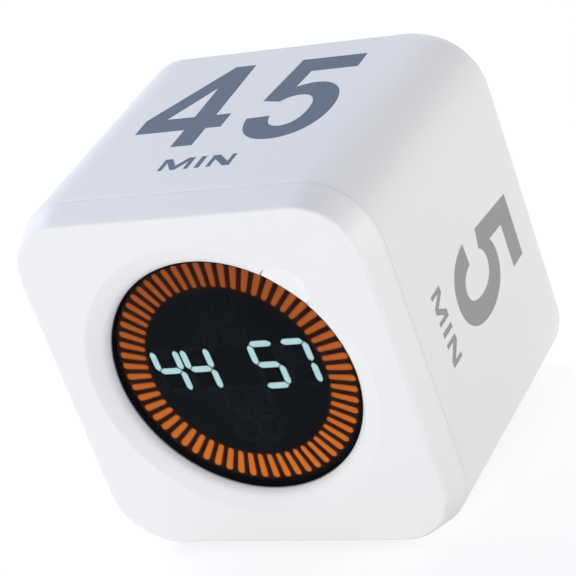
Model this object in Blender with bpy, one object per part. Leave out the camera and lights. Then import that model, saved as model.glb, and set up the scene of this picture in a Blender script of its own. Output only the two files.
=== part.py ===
"""Cube timer with a round light-ring display, built as separate pieces.

Run with: blender --background --python part.py

Frame: +Z up, the display looks along -Y, the origin is the middle of the
bottom of the cube.  Places behind the display face are written as depths
from that face, so a larger depth lies further towards +Y.
"""
import math

import bmesh
import bpy
from mathutils import Vector

MM = 0.001

# Case
SIDE = 60.0 * MM
CASE_DEPTH = 49.0 * MM
CASE_CORNER_R = 10.2 * MM
CASE_WALL = 2.2 * MM
REAR_EDGE_R = 1.0 * MM

# Clearances
SEAM_GAP = 0.15 * MM
FIT_GAP = 0.3 * MM
WINDOW_GAP = 0.08 * MM
SINK = 0.4 * MM
OVERRUN = 1.0 * MM

# Front bezel
BAND_DEPTH = 4.7 * MM
BAND_TAPER = 1.35 * MM
BEZEL_CORNER_R = 9.2 * MM
BEZEL_EDGE_R = 0.6 * MM
FACE_BORDER = 9.9 * MM
DISH_WIDTH = 3.6 * MM
DISH_DEPTH = 2.0 * MM
RIM_WALL = 0.5 * MM
LIP_WALL = 1.0 * MM
TONGUE_WALL = 1.6 * MM
TONGUE_REACH = 2.4 * MM
DISH_SHARES = ((1.0, 0.0), (0.86, 0.07), (0.7, 0.24), (0.0, 1.0))

# Display stack
LENS_SETBACK = 0.1 * MM
LENS_THICK = 1.35 * MM
MASK_OVERLAP = 1.2 * MM
MASK_SIDE_GAP = 0.5 * MM
MASK_THICK = 1.2 * MM
DIFFUSER_THICK = 0.6 * MM
DISPLAY_BOARD_THICK = 1.2 * MM
DISPLAY_BOARD_GAP = 0.5 * MM

# Light bars
BAR_COUNT = 60
BAR_RIM_GAP = 0.9 * MM
BAR_LENGTH = 4.35 * MM
BAR_WIDTH_SHARE = 0.0552
BAR_MARGIN = 0.17 * MM
BAR_SKIRT = 0.9 * MM

# Seven-segment digits, as shares of the radius inside the bars
SEGMENT_THICK_SHARE = 0.0674
DIGIT_WIDTH_SHARE = 0.266
DIGIT_HEIGHT_SHARE = 0.495
DIGIT_START_SHARE = 0.3906
DIGIT_PITCH_SHARE = 0.3569
SEGMENT_GAP = 0.2 * MM
DIGIT_RISE = 0.55 * MM
COLUMN_SHIFT = 0.1 * MM
DIGIT_LEAN_SHARE = -0.09
SEGMENT_SHARES = (
    (0.0, 0.5, "flat"),
    (0.0, 0.0, "flat"),
    (0.0, -0.5, "flat"),
    (-0.5, 0.25, "upright"),
    (0.5, 0.25, "upright"),
    (-0.5, -0.25, "upright"),
    (0.5, -0.25, "upright"),
)

# Push button
BUTTON_ANGLE = math.radians(47.2)
BUTTON_R = 3.9 * MM
BUTTON_OUT = 0.6 * MM
BUTTON_SETBACK = 0.35 * MM
BUTTON_DROP_SHARE = 0.78
BUTTON_CHAMFER = 0.25 * MM
BUTTON_TRAVEL = 0.4 * MM
BUTTON_FLANGE = 0.8 * MM
BUTTON_FLANGE_THICK = 0.6 * MM
BUTTON_GAP = 0.2 * MM
NUB_R = 0.9 * MM
SPOT_FACE = 0.1 * MM

# Tactile switch
TACT_SIDE = 3.2 * MM
TACT_HEIGHT = 1.5 * MM
TACT_SHIFT = 3.0 * MM
PLUNGER_R = 0.8 * MM
PLUNGER_LENGTH = 1.2 * MM
PLUNGER_SEAT = 0.6 * MM

# Screws
SCREW_R = 0.9 * MM
SCREW_HEAD_R = 1.9 * MM
SCREW_HEAD_THICK = 1.2 * MM
SCREW_LENGTH = 3.4 * MM
REAR_SCREW_LENGTH = 8.0 * MM
BOSS_WALL = 1.1 * MM
BOSS_FLOOR = 0.7 * MM
DISPLAY_BOSS_INSET = 4.4 * MM
REAR_BOSS_INSET = 4.2 * MM
REAR_BOSS_R = 3.0 * MM
REAR_BOSS_LENGTH = 10.0 * MM

# Rear cover
REBATE_WALL = 1.5 * MM
COVER_THICK = 2.0 * MM
COVER_CHAMFER = 0.25 * MM
SOUND_HOLE_R = 0.7 * MM
SOUND_HOLE_PITCH = 2.9 * MM
SOUND_RING_COUNT = 2

# Main board
BOARD_START = 15.7 * MM
BOARD_SIDE_GAP = 0.6 * MM
BOARD_THICK = 1.2 * MM
BOARD_CORNER_R = 1.5 * MM
BOARD_POST_HEIGHT = 5.5 * MM
BOARD_POST_INSET = 3.5 * MM
BOARD_POST_BACK = 7.2 * MM

# Socket and slide switch in the rear cover
SOCKET_WIDTH = 8.94 * MM
SOCKET_HEIGHT = 3.26 * MM
SOCKET_LENGTH = 7.2 * MM
SOCKET_WALL = 0.3 * MM
SOCKET_FLOOR = 0.7 * MM
SOCKET_SETBACK = 0.3 * MM
SOCKET_SLOT_GAP = 0.3 * MM
TONGUE_WIDTH = 6.7 * MM
TONGUE_THICK = 0.7 * MM
TONGUE_SETBACK = 1.4 * MM
SWITCH_INSET = 5.7 * MM
SWITCH_WIDTH = 8.6 * MM
SWITCH_HEIGHT = 3.6 * MM
SWITCH_LENGTH = 4.2 * MM
SWITCH_SETBACK = 0.6 * MM
SWITCH_WALL = 0.4 * MM
KNOB_WIDTH = 3.0 * MM
KNOB_HEIGHT = 2.0 * MM
KNOB_SETBACK = 0.4 * MM
KNOB_TRAVEL = 2.0 * MM
KNOB_RIB = 0.25 * MM
KNOB_RIB_COUNT = 3

# Chips and connectors
CHIP_SIDE = 6.0 * MM
CHIP_THICK = 0.9 * MM
CHARGER_WIDTH = 5.0 * MM
CHARGER_LENGTH = 4.0 * MM
CHARGER_THICK = 1.5 * MM
CHARGER_OUT = 7.0 * MM
CHARGER_BACK = 11.5 * MM
TILT_SIDE = 5.0 * MM
TILT_THICK = 2.6 * MM
TILT_INSET = 9.0 * MM
TILT_BACK = 18.0 * MM
PLUG_WIDTH = 6.0 * MM
PLUG_LENGTH = 4.6 * MM
PLUG_HEIGHT = 4.0 * MM
PLUG_WALL = 0.6 * MM
PLUG_INSET = 8.6 * MM
PLUG_BACK = 12.5 * MM
PLUG_PITCH = 6.0 * MM

# Cell
CELL_WIDTH = 30.0 * MM
CELL_START = 10.0 * MM
CELL_THICK = 6.0 * MM
CELL_EDGE_R = 1.6 * MM
CELL_BACK = 3.0 * MM
PAD_THICK = 0.8 * MM
PAD_INSET = 3.0 * MM
RIB_THICK = 1.2 * MM
RIB_DROP = 3.2 * MM

# Speaker
SPEAKER_R = 10.0 * MM
SPEAKER_RISE = 6.5 * MM
SPEAKER_RIM = 0.9 * MM
SPEAKER_SIDE = 2.0 * MM
SPEAKER_DEEP = 4.0 * MM
MAGNET_R = 6.1 * MM
MAGNET_THICK = 3.0 * MM
BASKET_WALL = 0.8 * MM
BASKET_COLLAR = 1.0 * MM
CONE_THICK = 0.3 * MM
CONE_DROP = 1.7 * MM
CONE_CAP_R = 3.4 * MM
SPEAKER_WALL = 1.0 * MM
SPEAKER_WALL_REACH = 2.4 * MM

# Ribbon cable
RIBBON_WIDTH = 10.0 * MM
RIBBON_THICK = 0.3 * MM
RIBBON_RISE = 18.0 * MM
RIBBON_SOCKET_WIDTH = 12.4 * MM
RIBBON_SOCKET_LONG = 4.0 * MM
RIBBON_SOCKET_THICK = 2.0 * MM
RIBBON_STEP_COUNT = 14

# Facets
CORNER_COUNT = 12
ROUND_COUNT = 4 * CORNER_COUNT
BOSS_COUNT = 14
SCREW_COUNT = 8
HOLE_COUNT = 8
BAR_END_COUNT = 3
EDGE_STEP_COUNT = 3
BUTTON_OUTER_COUNT = 18
BUTTON_INNER_COUNT = 8

# Derived places
HALF = SIDE / 2
OPENING_R = HALF - FACE_BORDER
FRONT = -CASE_DEPTH / 2
SLEEVE_START = BAND_DEPTH + SEAM_GAP
INNER_HALF = HALF - CASE_WALL
INNER_R = CASE_CORNER_R - CASE_WALL
REBATE_HALF = HALF - REBATE_WALL
REBATE_R = CASE_CORNER_R - REBATE_WALL
LEDGE = CASE_DEPTH - COVER_THICK - SEAM_GAP
COVER_FACE = CASE_DEPTH - COVER_THICK
PLATE_REAR = DISH_DEPTH + RIM_WALL
LENS_R = OPENING_R - SEAM_GAP
LENS_START = DISH_DEPTH + LENS_SETBACK
MASK_R = OPENING_R + MASK_OVERLAP
LIP_R = MASK_R + MASK_SIDE_GAP
MASK_START = LENS_START + LENS_THICK + SEAM_GAP
MASK_END = MASK_START + MASK_THICK
DIFFUSER_START = MASK_END + SEAM_GAP
DIFFUSER_END = DIFFUSER_START + DIFFUSER_THICK
DISPLAY_BOARD_START = DIFFUSER_END + SEAM_GAP
DISPLAY_BOARD_END = DISPLAY_BOARD_START + DISPLAY_BOARD_THICK
TONGUE_HALF = INNER_HALF - FIT_GAP
TONGUE_INNER_HALF = TONGUE_HALF - TONGUE_WALL
DISPLAY_BOSS_AT = TONGUE_INNER_HALF - DISPLAY_BOSS_INSET
TONGUE_R = INNER_R - FIT_GAP
TONGUE_INNER_R = TONGUE_R - TONGUE_WALL
BAR_OUTER_R = OPENING_R - BAR_RIM_GAP
BAR_INNER_R = BAR_OUTER_R - BAR_LENGTH
BAR_OUTER_WIDTH = BAR_OUTER_R * BAR_WIDTH_SHARE
BAR_INNER_WIDTH = BAR_INNER_R * BAR_WIDTH_SHARE
SEGMENT_THICK = BAR_INNER_R * SEGMENT_THICK_SHARE
DIGIT_WIDTH = BAR_INNER_R * DIGIT_WIDTH_SHARE
DIGIT_HEIGHT = BAR_INNER_R * DIGIT_HEIGHT_SHARE
DIGIT_START = BAR_INNER_R * DIGIT_START_SHARE
DIGIT_PITCH = BAR_INNER_R * DIGIT_PITCH_SHARE
BUTTON_AT = OPENING_R + BUTTON_OUT
TACT_OUT = BUTTON_AT + TACT_SHIFT
BUTTON_INNER_R = OPENING_R + BUTTON_GAP
BUTTON_SPAN = BUTTON_AT + BUTTON_R - BUTTON_INNER_R
BUTTON_SLOPE = (DISH_DEPTH * BUTTON_DROP_SHARE - BUTTON_SETBACK) / BUTTON_SPAN
PILOT_R = SCREW_R + FIT_GAP
BOSS_R = PILOT_R + BOSS_WALL
REAR_BOSS_AT = INNER_HALF - REAR_BOSS_INSET
BOARD_WIDTH = 2 * (REAR_BOSS_AT - REAR_BOSS_R - BOARD_SIDE_GAP)
SWITCH_AT = BOARD_WIDTH / 2 - SWITCH_INSET
BOARD_TOP = CASE_WALL + BOARD_POST_HEIGHT + SEAM_GAP + BOARD_THICK
BOARD_REAR = COVER_FACE - FIT_GAP
BOARD_LENGTH = BOARD_REAR - BOARD_START
SOCKET_MID = BOARD_TOP + SEAM_GAP + SOCKET_HEIGHT / 2
SWITCH_MID = BOARD_TOP + SEAM_GAP + SWITCH_HEIGHT / 2


def place(across, depth, height):
    """A point from the side, behind the display face, above the base."""
    return Vector((across, FRONT + depth, height))


def face_point(across, up, depth):
    """A point from the middle of the display face."""
    return place(across, depth, HALF + up)


def material(name, colour, roughness, metallic=0.0):
    """A plain Principled material."""
    made = bpy.data.materials.new(name)
    made.use_nodes = True
    shader = made.node_tree.nodes["Principled BSDF"]
    shader.inputs["Base Color"].default_value = (*colour, 1.0)
    shader.inputs["Roughness"].default_value = roughness
    shader.inputs["Metallic"].default_value = metallic
    made.diffuse_color = (*colour, 1.0)
    return made


def add_object(name, bm, look=None, smooth=True):
    """Turn a bmesh into an object whose faces point outwards."""
    bmesh.ops.recalc_face_normals(bm, faces=bm.faces)
    mesh = bpy.data.meshes.new(name)
    bm.to_mesh(mesh)
    bm.free()
    if smooth:
        mesh.shade_smooth()
        mesh.set_sharp_from_angle(angle=math.radians(30.0))
    made = bpy.data.objects.new(name, mesh)
    bpy.context.scene.collection.objects.link(made)
    if look is not None:
        mesh.materials.append(look)
    return made


def loft_into(bm, rings, joined=False):
    """Skin rings of equal counts; the ends are capped or joined."""
    rows = [[bm.verts.new(point) for point in ring] for ring in rings]
    pairs = list(zip(rows, rows[1:]))
    if joined:
        pairs.append((rows[-1], rows[0]))
    for first, second in pairs:
        for a, b, c, d in zip(first, first[1:] + first[:1], second[1:] + second[:1], second):
            bm.faces.new((a, b, c, d))
    if not joined:
        bm.faces.new(rows[0])
        bm.faces.new(rows[-1])


def loft(name, rings, look=None, joined=False):
    """An object skinned over rings."""
    bm = bmesh.new()
    loft_into(bm, rings, joined)
    return add_object(name, bm, look)


def as_cutter(made):
    """Mark an object as a tool that shapes others."""
    made.hide_render = True
    made.display_type = "WIRE"
    return made


def combine(target, tool, operation):
    """Cut, or join on, another object's shape."""
    step = target.modifiers.new(tool.name, "BOOLEAN")
    step.object = as_cutter(tool)
    step.operation = operation
    step.solver = "EXACT"


def cut(target, tool):
    combine(target, tool, "DIFFERENCE")


def fuse(target, tool):
    combine(target, tool, "UNION")


def rounded_square(half, radius):
    """Points round a square with rounded corners, in one plane."""
    points = []
    for corner in range(4):
        turn = corner * math.pi / 2
        for step in range(CORNER_COUNT):
            angle = turn + math.pi / 2 * step / (CORNER_COUNT - 1)
            middle = turn + math.pi / 4
            reach = (half - radius) * math.sqrt(2)
            points.append((
                reach * math.cos(middle) + radius * math.cos(angle),
                reach * math.sin(middle) + radius * math.sin(angle),
            ))
    return points


def circle(radius, count=ROUND_COUNT, centre=(0, 0), turn=0.5):
    """Points round a circle; turn is the first point's place in steps."""
    step = 2 * math.pi / count
    return [
        (centre[0] + radius * math.cos(step * (i + turn)), centre[1] + radius * math.sin(step * (i + turn)))
        for i in range(count)
    ]


def rounded_box(width, height, radius, points_each):
    """Points round a rectangle with rounded corners."""
    points = []
    for corner, (across, up) in enumerate(((1, 1), (-1, 1), (-1, -1), (1, -1))):
        for step in range(points_each):
            angle = math.pi / 2 * (corner + step / (points_each - 1))
            points.append((
                across * (width / 2 - radius) + radius * math.cos(angle),
                up * (height / 2 - radius) + radius * math.sin(angle),
            ))
    return points


def on_face(outline, depth):
    """Stand an outline up behind the display face."""
    return [face_point(across, up, depth) for across, up in outline]


def on_rear(outline, depth, across, height):
    """Stand an outline up round a point of the rear."""
    return [place(across + x, depth, height + z) for x, z in outline]


def lying(outline, across, depth, height):
    """Lay an outline flat round a point above the base."""
    return [place(across + x, depth + y, height) for x, y in outline]


def face_prism(name, outline, start, end, look=None):
    return loft(name, [on_face(outline, start), on_face(outline, end)], look)


def box(name, low, high, look=None):
    """A box between two corner points."""
    (x0, y0, z0), (x1, y1, z1) = low, high
    base = [(x0, y0), (x1, y0), (x1, y1), (x0, y1)]
    rings = [[Vector((x, y, z)) for x, y in base] for z in (z0, z1)]
    bm = bmesh.new()
    loft_into(bm, rings)
    return add_object(name, bm, look, smooth=False)


def turned(name, profile, centre, look=None, points=ROUND_COUNT, joined=False):
    """Turn a profile of radius and depth about a line along Y."""
    rings = [
        [place(centre.x + x, depth, centre.z + z) for x, z in circle(radius, points)]
        for radius, depth in profile
    ]
    return loft(name, rings, look, joined)


def upright_turned(name, profile, across, depth, look=None, points=SCREW_COUNT):
    """Turn a profile of radius and height about an upright line."""
    rings = [lying(circle(radius, points), across, depth, height) for radius, height in profile]
    return loft(name, rings, look)


def four_corners(reach):
    """Places at the four corners round the middle of the face."""
    return [(across * reach, up * reach) for across, up in ((1, 1), (-1, 1), (-1, -1), (1, -1))]


def joined_prisms(name, outlines, start, end, look=None):
    """Many separate prisms in one object, to cut or join at once."""
    bm = bmesh.new()
    for outline in outlines:
        loft_into(bm, [on_face(outline, start), on_face(outline, end)])
    return add_object(name, bm, look)


def housing_sleeve(look):
    """Rounded square tube with a rebate, screw bosses, board posts and cell ribs."""
    rings = [on_face(rounded_square(HALF, CASE_CORNER_R), SLEEVE_START)]
    for step in range(EDGE_STEP_COUNT + 1):
        angle = math.pi / 2 * step / EDGE_STEP_COUNT
        inward = REAR_EDGE_R * (1 - math.cos(angle))
        depth = CASE_DEPTH - REAR_EDGE_R + REAR_EDGE_R * math.sin(angle)
        rings.append(on_face(rounded_square(HALF - inward, CASE_CORNER_R - inward), depth))
    rings.append(on_face(rounded_square(REBATE_HALF, REBATE_R), CASE_DEPTH))
    rings.append(on_face(rounded_square(REBATE_HALF, REBATE_R), LEDGE))
    rings.append(on_face(rounded_square(INNER_HALF, INNER_R), LEDGE))
    rings.append(on_face(rounded_square(INNER_HALF, INNER_R), SLEEVE_START))
    sleeve = loft("housing_sleeve", rings, look, joined=True)

    bosses = [circle(REAR_BOSS_R, BOSS_COUNT, centre) for centre in four_corners(REAR_BOSS_AT)]
    boss_end = LEDGE - SEAM_GAP
    fuse(sleeve, joined_prisms("sleeve_boss_tool", bosses, boss_end - REAR_BOSS_LENGTH, boss_end))
    holes = [circle(PILOT_R, SCREW_COUNT, centre) for centre in four_corners(REAR_BOSS_AT)]
    hole_start = boss_end - REAR_BOSS_LENGTH + BOSS_FLOOR
    cut(sleeve, joined_prisms("sleeve_pilot_tool", holes, hole_start, LEDGE + OVERRUN))

    posts = bmesh.new()
    wells = bmesh.new()
    top = CASE_WALL + BOARD_POST_HEIGHT
    for across, depth in board_screw_places():
        low = CASE_WALL - SINK
        loft_into(posts, [lying(circle(BOSS_R, BOSS_COUNT), across, depth, z) for z in (low, top)])
        low = CASE_WALL + BOSS_FLOOR
        high = top + OVERRUN
        loft_into(wells, [lying(circle(PILOT_R, SCREW_COUNT), across, depth, z) for z in (low, high)])
    fuse(sleeve, add_object("sleeve_post_tool", posts))
    cut(sleeve, add_object("sleeve_well_tool", wells))

    ribs = bmesh.new()
    inner = CELL_WIDTH / 2 + FIT_GAP
    cell_start, cell_end = cell_depths()
    for side in (-1, 1):
        low = side * inner
        high = side * (inner + RIB_THICK)
        outline = [(low, cell_start), (high, cell_start), (high, cell_end), (low, cell_end)]
        heights = (SIDE - CASE_WALL - RIB_DROP, SIDE - CASE_WALL + SINK)
        loft_into(ribs, [[place(x, y, z) for x, y in outline] for z in heights])
    fuse(sleeve, add_object("sleeve_rib_tool", ribs, smooth=False))
    return sleeve


def board_screw_places():
    """Sides and depths of the main board's four screws."""
    out = BOARD_WIDTH / 2 - BOARD_POST_INSET
    depths = (BOARD_START + BOARD_POST_INSET, BOARD_REAR - BOARD_POST_BACK)
    return [(side * out, depth) for side in (-1, 1) for depth in depths]


def cell_depths():
    """Where the cell starts and ends behind the display face."""
    return CELL_START, COVER_FACE - CELL_BACK


def rear_cover(look):
    """Plate in the rebate with sound holes, slots, screw seats and a speaker wall."""
    half = REBATE_HALF - SEAM_GAP
    radius = REBATE_R - SEAM_GAP
    rings = [
        on_face(rounded_square(half, radius), COVER_FACE),
        on_face(rounded_square(half, radius), CASE_DEPTH - COVER_CHAMFER),
        on_face(rounded_square(half - COVER_CHAMFER, radius - COVER_CHAMFER), CASE_DEPTH),
    ]
    cover = loft("rear_cover", rings, look)

    bore = SPEAKER_R + FIT_GAP
    wall_start = COVER_FACE - SPEAKER_WALL_REACH
    wall_end = COVER_FACE + SINK
    profile = [
        (bore + SPEAKER_WALL, wall_start),
        (bore + SPEAKER_WALL, wall_end),
        (bore, wall_end),
        (bore, wall_start),
    ]
    wall = turned("cover_wall_tool", profile, speaker_centre(), points=2 * BOSS_COUNT, joined=True)
    fuse(cover, wall)

    sounds = bmesh.new()
    for across, up in sound_hole_places():
        outline = circle(SOUND_HOLE_R, HOLE_COUNT, (across, up + SPEAKER_RISE))
        loft_into(sounds, [on_face(outline, COVER_FACE - OVERRUN), on_face(outline, CASE_DEPTH + OVERRUN)])
    cut(cover, add_object("cover_sound_tool", sounds))

    seats = bmesh.new()
    for across, up in four_corners(REAR_BOSS_AT):
        profile = [
            (PILOT_R, COVER_FACE - OVERRUN),
            (PILOT_R, CASE_DEPTH - SEAM_GAP - SCREW_HEAD_THICK),
            (SCREW_HEAD_R + FIT_GAP, CASE_DEPTH - SEAM_GAP),
            (SCREW_HEAD_R + FIT_GAP, CASE_DEPTH + OVERRUN),
        ]
        rings = [on_face(circle(r, BOSS_COUNT, (across, up)), depth) for r, depth in profile]
        loft_into(seats, rings)
    cut(cover, add_object("cover_seat_tool", seats))

    slots = bmesh.new()
    width = SOCKET_WIDTH + 2 * SOCKET_SLOT_GAP
    height = SOCKET_HEIGHT + 2 * SOCKET_SLOT_GAP
    outline = rounded_box(width, height, height / 2 - SEAM_GAP, 6)
    depths = (COVER_FACE - OVERRUN, CASE_DEPTH + OVERRUN)
    loft_into(slots, [on_rear(outline, depth, 0, SOCKET_MID) for depth in depths])
    width = KNOB_WIDTH + 2 * KNOB_TRAVEL + 2 * FIT_GAP
    height = KNOB_HEIGHT + 2 * FIT_GAP
    outline = rounded_box(width, height, FIT_GAP, 3)
    loft_into(slots, [on_rear(outline, depth, SWITCH_AT, SWITCH_MID) for depth in depths])
    cut(cover, add_object("cover_slot_tool", slots))
    return cover


def sound_hole_places():
    """A middle hole with rings of six, twelve and so on round it."""
    places = [(0.0, 0.0)]
    for ring in range(1, SOUND_RING_COUNT + 1):
        count = 6 * ring
        for step in range(count):
            angle = 2 * math.pi * step / count
            reach = ring * SOUND_HOLE_PITCH
            places.append((reach * math.cos(angle), reach * math.sin(angle)))
    return places


def speaker_centre():
    return face_point(0, SPEAKER_RISE, CASE_DEPTH)


def front_bezel(look):
    """Tapered cap with a dish round the opening, a lens lip, a tongue and bosses."""
    front_half = HALF - BAND_TAPER
    slope = BAND_TAPER / BAND_DEPTH
    rings = [on_face(rounded_square(HALF, CASE_CORNER_R), BAND_DEPTH)]
    edge_half = front_half + slope * BEZEL_EDGE_R
    for step in range(EDGE_STEP_COUNT + 1):
        angle = math.pi / 2 * step / EDGE_STEP_COUNT
        inward = BEZEL_EDGE_R * (1 - math.cos(angle))
        depth = BEZEL_EDGE_R * (1 - math.sin(angle))
        rings.append(on_face(rounded_square(edge_half - inward, BEZEL_CORNER_R - inward), depth))
    for out_share, deep_share in DISH_SHARES:
        radius = OPENING_R + DISH_WIDTH * out_share
        rings.append(on_face(circle(radius), DISH_DEPTH * deep_share))
    rings.append(on_face(circle(OPENING_R), PLATE_REAR))
    rings.append(on_face(circle(LIP_R), PLATE_REAR))
    rings.append(on_face(circle(LIP_R), MASK_END))
    rings.append(on_face(circle(LIP_R + LIP_WALL), MASK_END))
    rings.append(on_face(circle(LIP_R + LIP_WALL), PLATE_REAR))
    tongue_end = BAND_DEPTH + TONGUE_REACH
    rings.append(on_face(rounded_square(TONGUE_INNER_HALF, TONGUE_INNER_R), PLATE_REAR))
    rings.append(on_face(rounded_square(TONGUE_INNER_HALF, TONGUE_INNER_R), tongue_end))
    rings.append(on_face(rounded_square(TONGUE_HALF, TONGUE_R), tongue_end))
    rings.append(on_face(rounded_square(TONGUE_HALF, TONGUE_R), BAND_DEPTH))
    bezel = loft("front_bezel", rings, look, joined=True)

    bosses = [circle(BOSS_R, BOSS_COUNT, centre) for centre in four_corners(DISPLAY_BOSS_AT)]
    boss_end = DISPLAY_BOARD_START - SEAM_GAP
    fuse(bezel, joined_prisms("bezel_boss_tool", bosses, PLATE_REAR - SINK, boss_end))
    holes = [circle(PILOT_R, SCREW_COUNT, centre) for centre in four_corners(DISPLAY_BOSS_AT)]
    cut(bezel, joined_prisms("bezel_pilot_tool", holes, PLATE_REAR, boss_end + OVERRUN))

    centre = button_centre()
    hole = circle(BUTTON_R + BUTTON_GAP, ROUND_COUNT, centre)
    cut(bezel, face_prism("bezel_button_tool", hole, -OVERRUN, PLATE_REAR + OVERRUN))
    relief = circle(BUTTON_R + BUTTON_FLANGE + FIT_GAP, ROUND_COUNT, centre)
    cut(bezel, face_prism("bezel_relief_tool", relief, PLATE_REAR - SPOT_FACE, MASK_END + OVERRUN))
    return bezel


def towards_button(reach):
    """A point of the display face on the line from its middle to the button."""
    return reach * math.cos(BUTTON_ANGLE), reach * math.sin(BUTTON_ANGLE)


def button_centre():
    return towards_button(BUTTON_AT)


def half_moon(radius, inner_r):
    """Outline of a disc round the button's centre, cut off by a circle round the display."""
    across = (BUTTON_AT ** 2 + radius ** 2 - inner_r ** 2) / (2 * BUTTON_AT * radius)
    open_angle = math.pi - math.acos(across)
    share = (BUTTON_AT ** 2 + inner_r ** 2 - radius ** 2) / (2 * BUTTON_AT * inner_r)
    close_angle = math.acos(share)
    centre = button_centre()
    points = []
    for step in range(BUTTON_OUTER_COUNT + 1):
        angle = BUTTON_ANGLE - open_angle + 2 * open_angle * step / BUTTON_OUTER_COUNT
        points.append((centre[0] + radius * math.cos(angle), centre[1] + radius * math.sin(angle)))
    for step in range(1, BUTTON_INNER_COUNT):
        angle = BUTTON_ANGLE + close_angle - 2 * close_angle * step / BUTTON_INNER_COUNT
        points.append((inner_r * math.cos(angle), inner_r * math.sin(angle)))
    return points


def on_slope(outline, extra):
    """Stand an outline up on the button's slanted face, or a little behind it."""
    points = []
    way = towards_button(1)
    for across, up in outline:
        inward = BUTTON_AT + BUTTON_R - (across * way[0] + up * way[1])
        depth = BUTTON_SETBACK + BUTTON_SLOPE * inward + extra
        points.append(face_point(across, up, depth))
    return points


def push_button(look):
    """Half-moon cap that slopes down with the dish, with a flange and a nub behind."""
    flange_start = PLATE_REAR + SEAM_GAP
    flange_end = flange_start + BUTTON_FLANGE_THICK
    flange_r = BUTTON_R + BUTTON_FLANGE
    top = half_moon(BUTTON_R - BUTTON_CHAMFER, BUTTON_INNER_R + BUTTON_CHAMFER)
    rings = [on_slope(top, 0), on_slope(half_moon(BUTTON_R, BUTTON_INNER_R), BUTTON_CHAMFER)]
    levels = [
        (BUTTON_R, BUTTON_INNER_R, PLATE_REAR),
        (BUTTON_R, LIP_R, PLATE_REAR),
        (BUTTON_R, LIP_R, flange_start),
        (flange_r, LIP_R, flange_start),
        (flange_r, LIP_R, flange_end),
    ]
    rings += [on_face(half_moon(radius, inner), depth) for radius, inner, depth in levels]
    button = loft("push_button", rings, look)
    nub = circle(NUB_R, SCREW_COUNT, tact_centre())
    fuse(button, face_prism("button_nub_tool", nub, flange_end - SINK, nub_end()))
    return button


def nub_end():
    return tact_top() - PLUNGER_LENGTH + PLUNGER_SEAT - SEAM_GAP


def tact_top():
    """Depth of the tactile switch's front."""
    return DISPLAY_BOARD_START - SEAM_GAP - TACT_HEIGHT


def tact_centre():
    return towards_button(TACT_OUT)


def tact_switch(body_look, plunger_look):
    """Square switch on the display board with a round plunger in its well."""
    centre = tact_centre()
    reach = TACT_SIDE / math.sqrt(2)
    outline = circle(reach, 4, centre, turn=0.0)
    top = tact_top()
    body = face_prism("tact_switch_body", outline, top, top + TACT_HEIGHT, body_look)
    well = circle(PLUNGER_R + SEAM_GAP, SCREW_COUNT, centre)
    well_floor = top + PLUNGER_SEAT + BUTTON_TRAVEL + SEAM_GAP
    cut(body, face_prism("tact_well_tool", well, top - OVERRUN, well_floor))
    start = nub_end() + SEAM_GAP
    plunger = circle(PLUNGER_R, SCREW_COUNT, centre)
    face_prism("tact_plunger", plunger, start, start + PLUNGER_LENGTH, plunger_look)


def display_lens(look):
    """Thick round window that fills the opening and rests on the mask."""
    face_prism("display_lens", circle(LENS_R), LENS_START, LENS_START + LENS_THICK, look)


def bar_outline(index, grow):
    """A bar that widens outwards, with rounded ends."""
    angle = 2 * math.pi * index / BAR_COUNT
    inner_half = BAR_INNER_WIDTH / 2
    outer_half = BAR_OUTER_WIDTH / 2
    inner = BAR_INNER_R + inner_half
    outer = BAR_OUTER_R - outer_half
    local = []
    ends = ((math.pi / 2, inner, inner_half + grow), (-math.pi / 2, outer, outer_half + grow))
    for start, centre, half in ends:
        for step in range(BAR_END_COUNT):
            turn = start + math.pi * step / (BAR_END_COUNT - 1)
            local.append((centre + half * math.cos(turn), half * math.sin(turn)))
    cosine, sine = math.cos(angle), math.sin(angle)
    return [(x * cosine - y * sine, x * sine + y * cosine) for x, y in local]


def segment_outline(across, up, length, flat, grow):
    """A six-sided stroke round a centre, lying flat or upright."""
    half = SEGMENT_THICK / 2 + grow
    reach = length / 2 + grow
    shoulder = reach - half
    near = [(-reach, 0), (-shoulder, half), (shoulder, half)]
    local = near + [(-x, -y) for x, y in near]
    if not flat:
        local = [(-y, x) for x, y in local]
    return [(across + x, up + y) for x, y in local]


def digit_outlines(grow):
    """Outlines of the seven strokes of all eight digits of the cross."""
    outlines = []
    for side in (-1, 1):
        for place_step in range(2):
            centre = side * (DIGIT_START + place_step * DIGIT_PITCH)
            for across_share, up_share, way in SEGMENT_SHARES:
                flat = way == "flat"
                length = (DIGIT_WIDTH if flat else DIGIT_HEIGHT / 2) - 2 * SEGMENT_GAP
                across, up = across_share * DIGIT_WIDTH, up_share * DIGIT_HEIGHT
                stroke = segment_outline(across, up, length, flat, grow)
                row = [(centre + x + y * DIGIT_LEAN_SHARE, y + DIGIT_RISE) for x, y in stroke]
                column = [(COLUMN_SHIFT - y, centre + x + DIGIT_RISE) for x, y in stroke]
                outlines.append(row)
                outlines.append(column)
    return outlines


def window_mask(look):
    """Black plate with a window for every bar and every digit stroke."""
    mask = face_prism("window_mask", circle(MASK_R), MASK_START, MASK_END, look)
    bars = [bar_outline(index, WINDOW_GAP) for index in range(BAR_COUNT)]
    through = (MASK_START - OVERRUN, MASK_END + OVERRUN)
    cut(mask, joined_prisms("mask_bar_tool", bars, *through))
    cut(mask, joined_prisms("mask_digit_tool", digit_outlines(WINDOW_GAP), *through))


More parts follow.
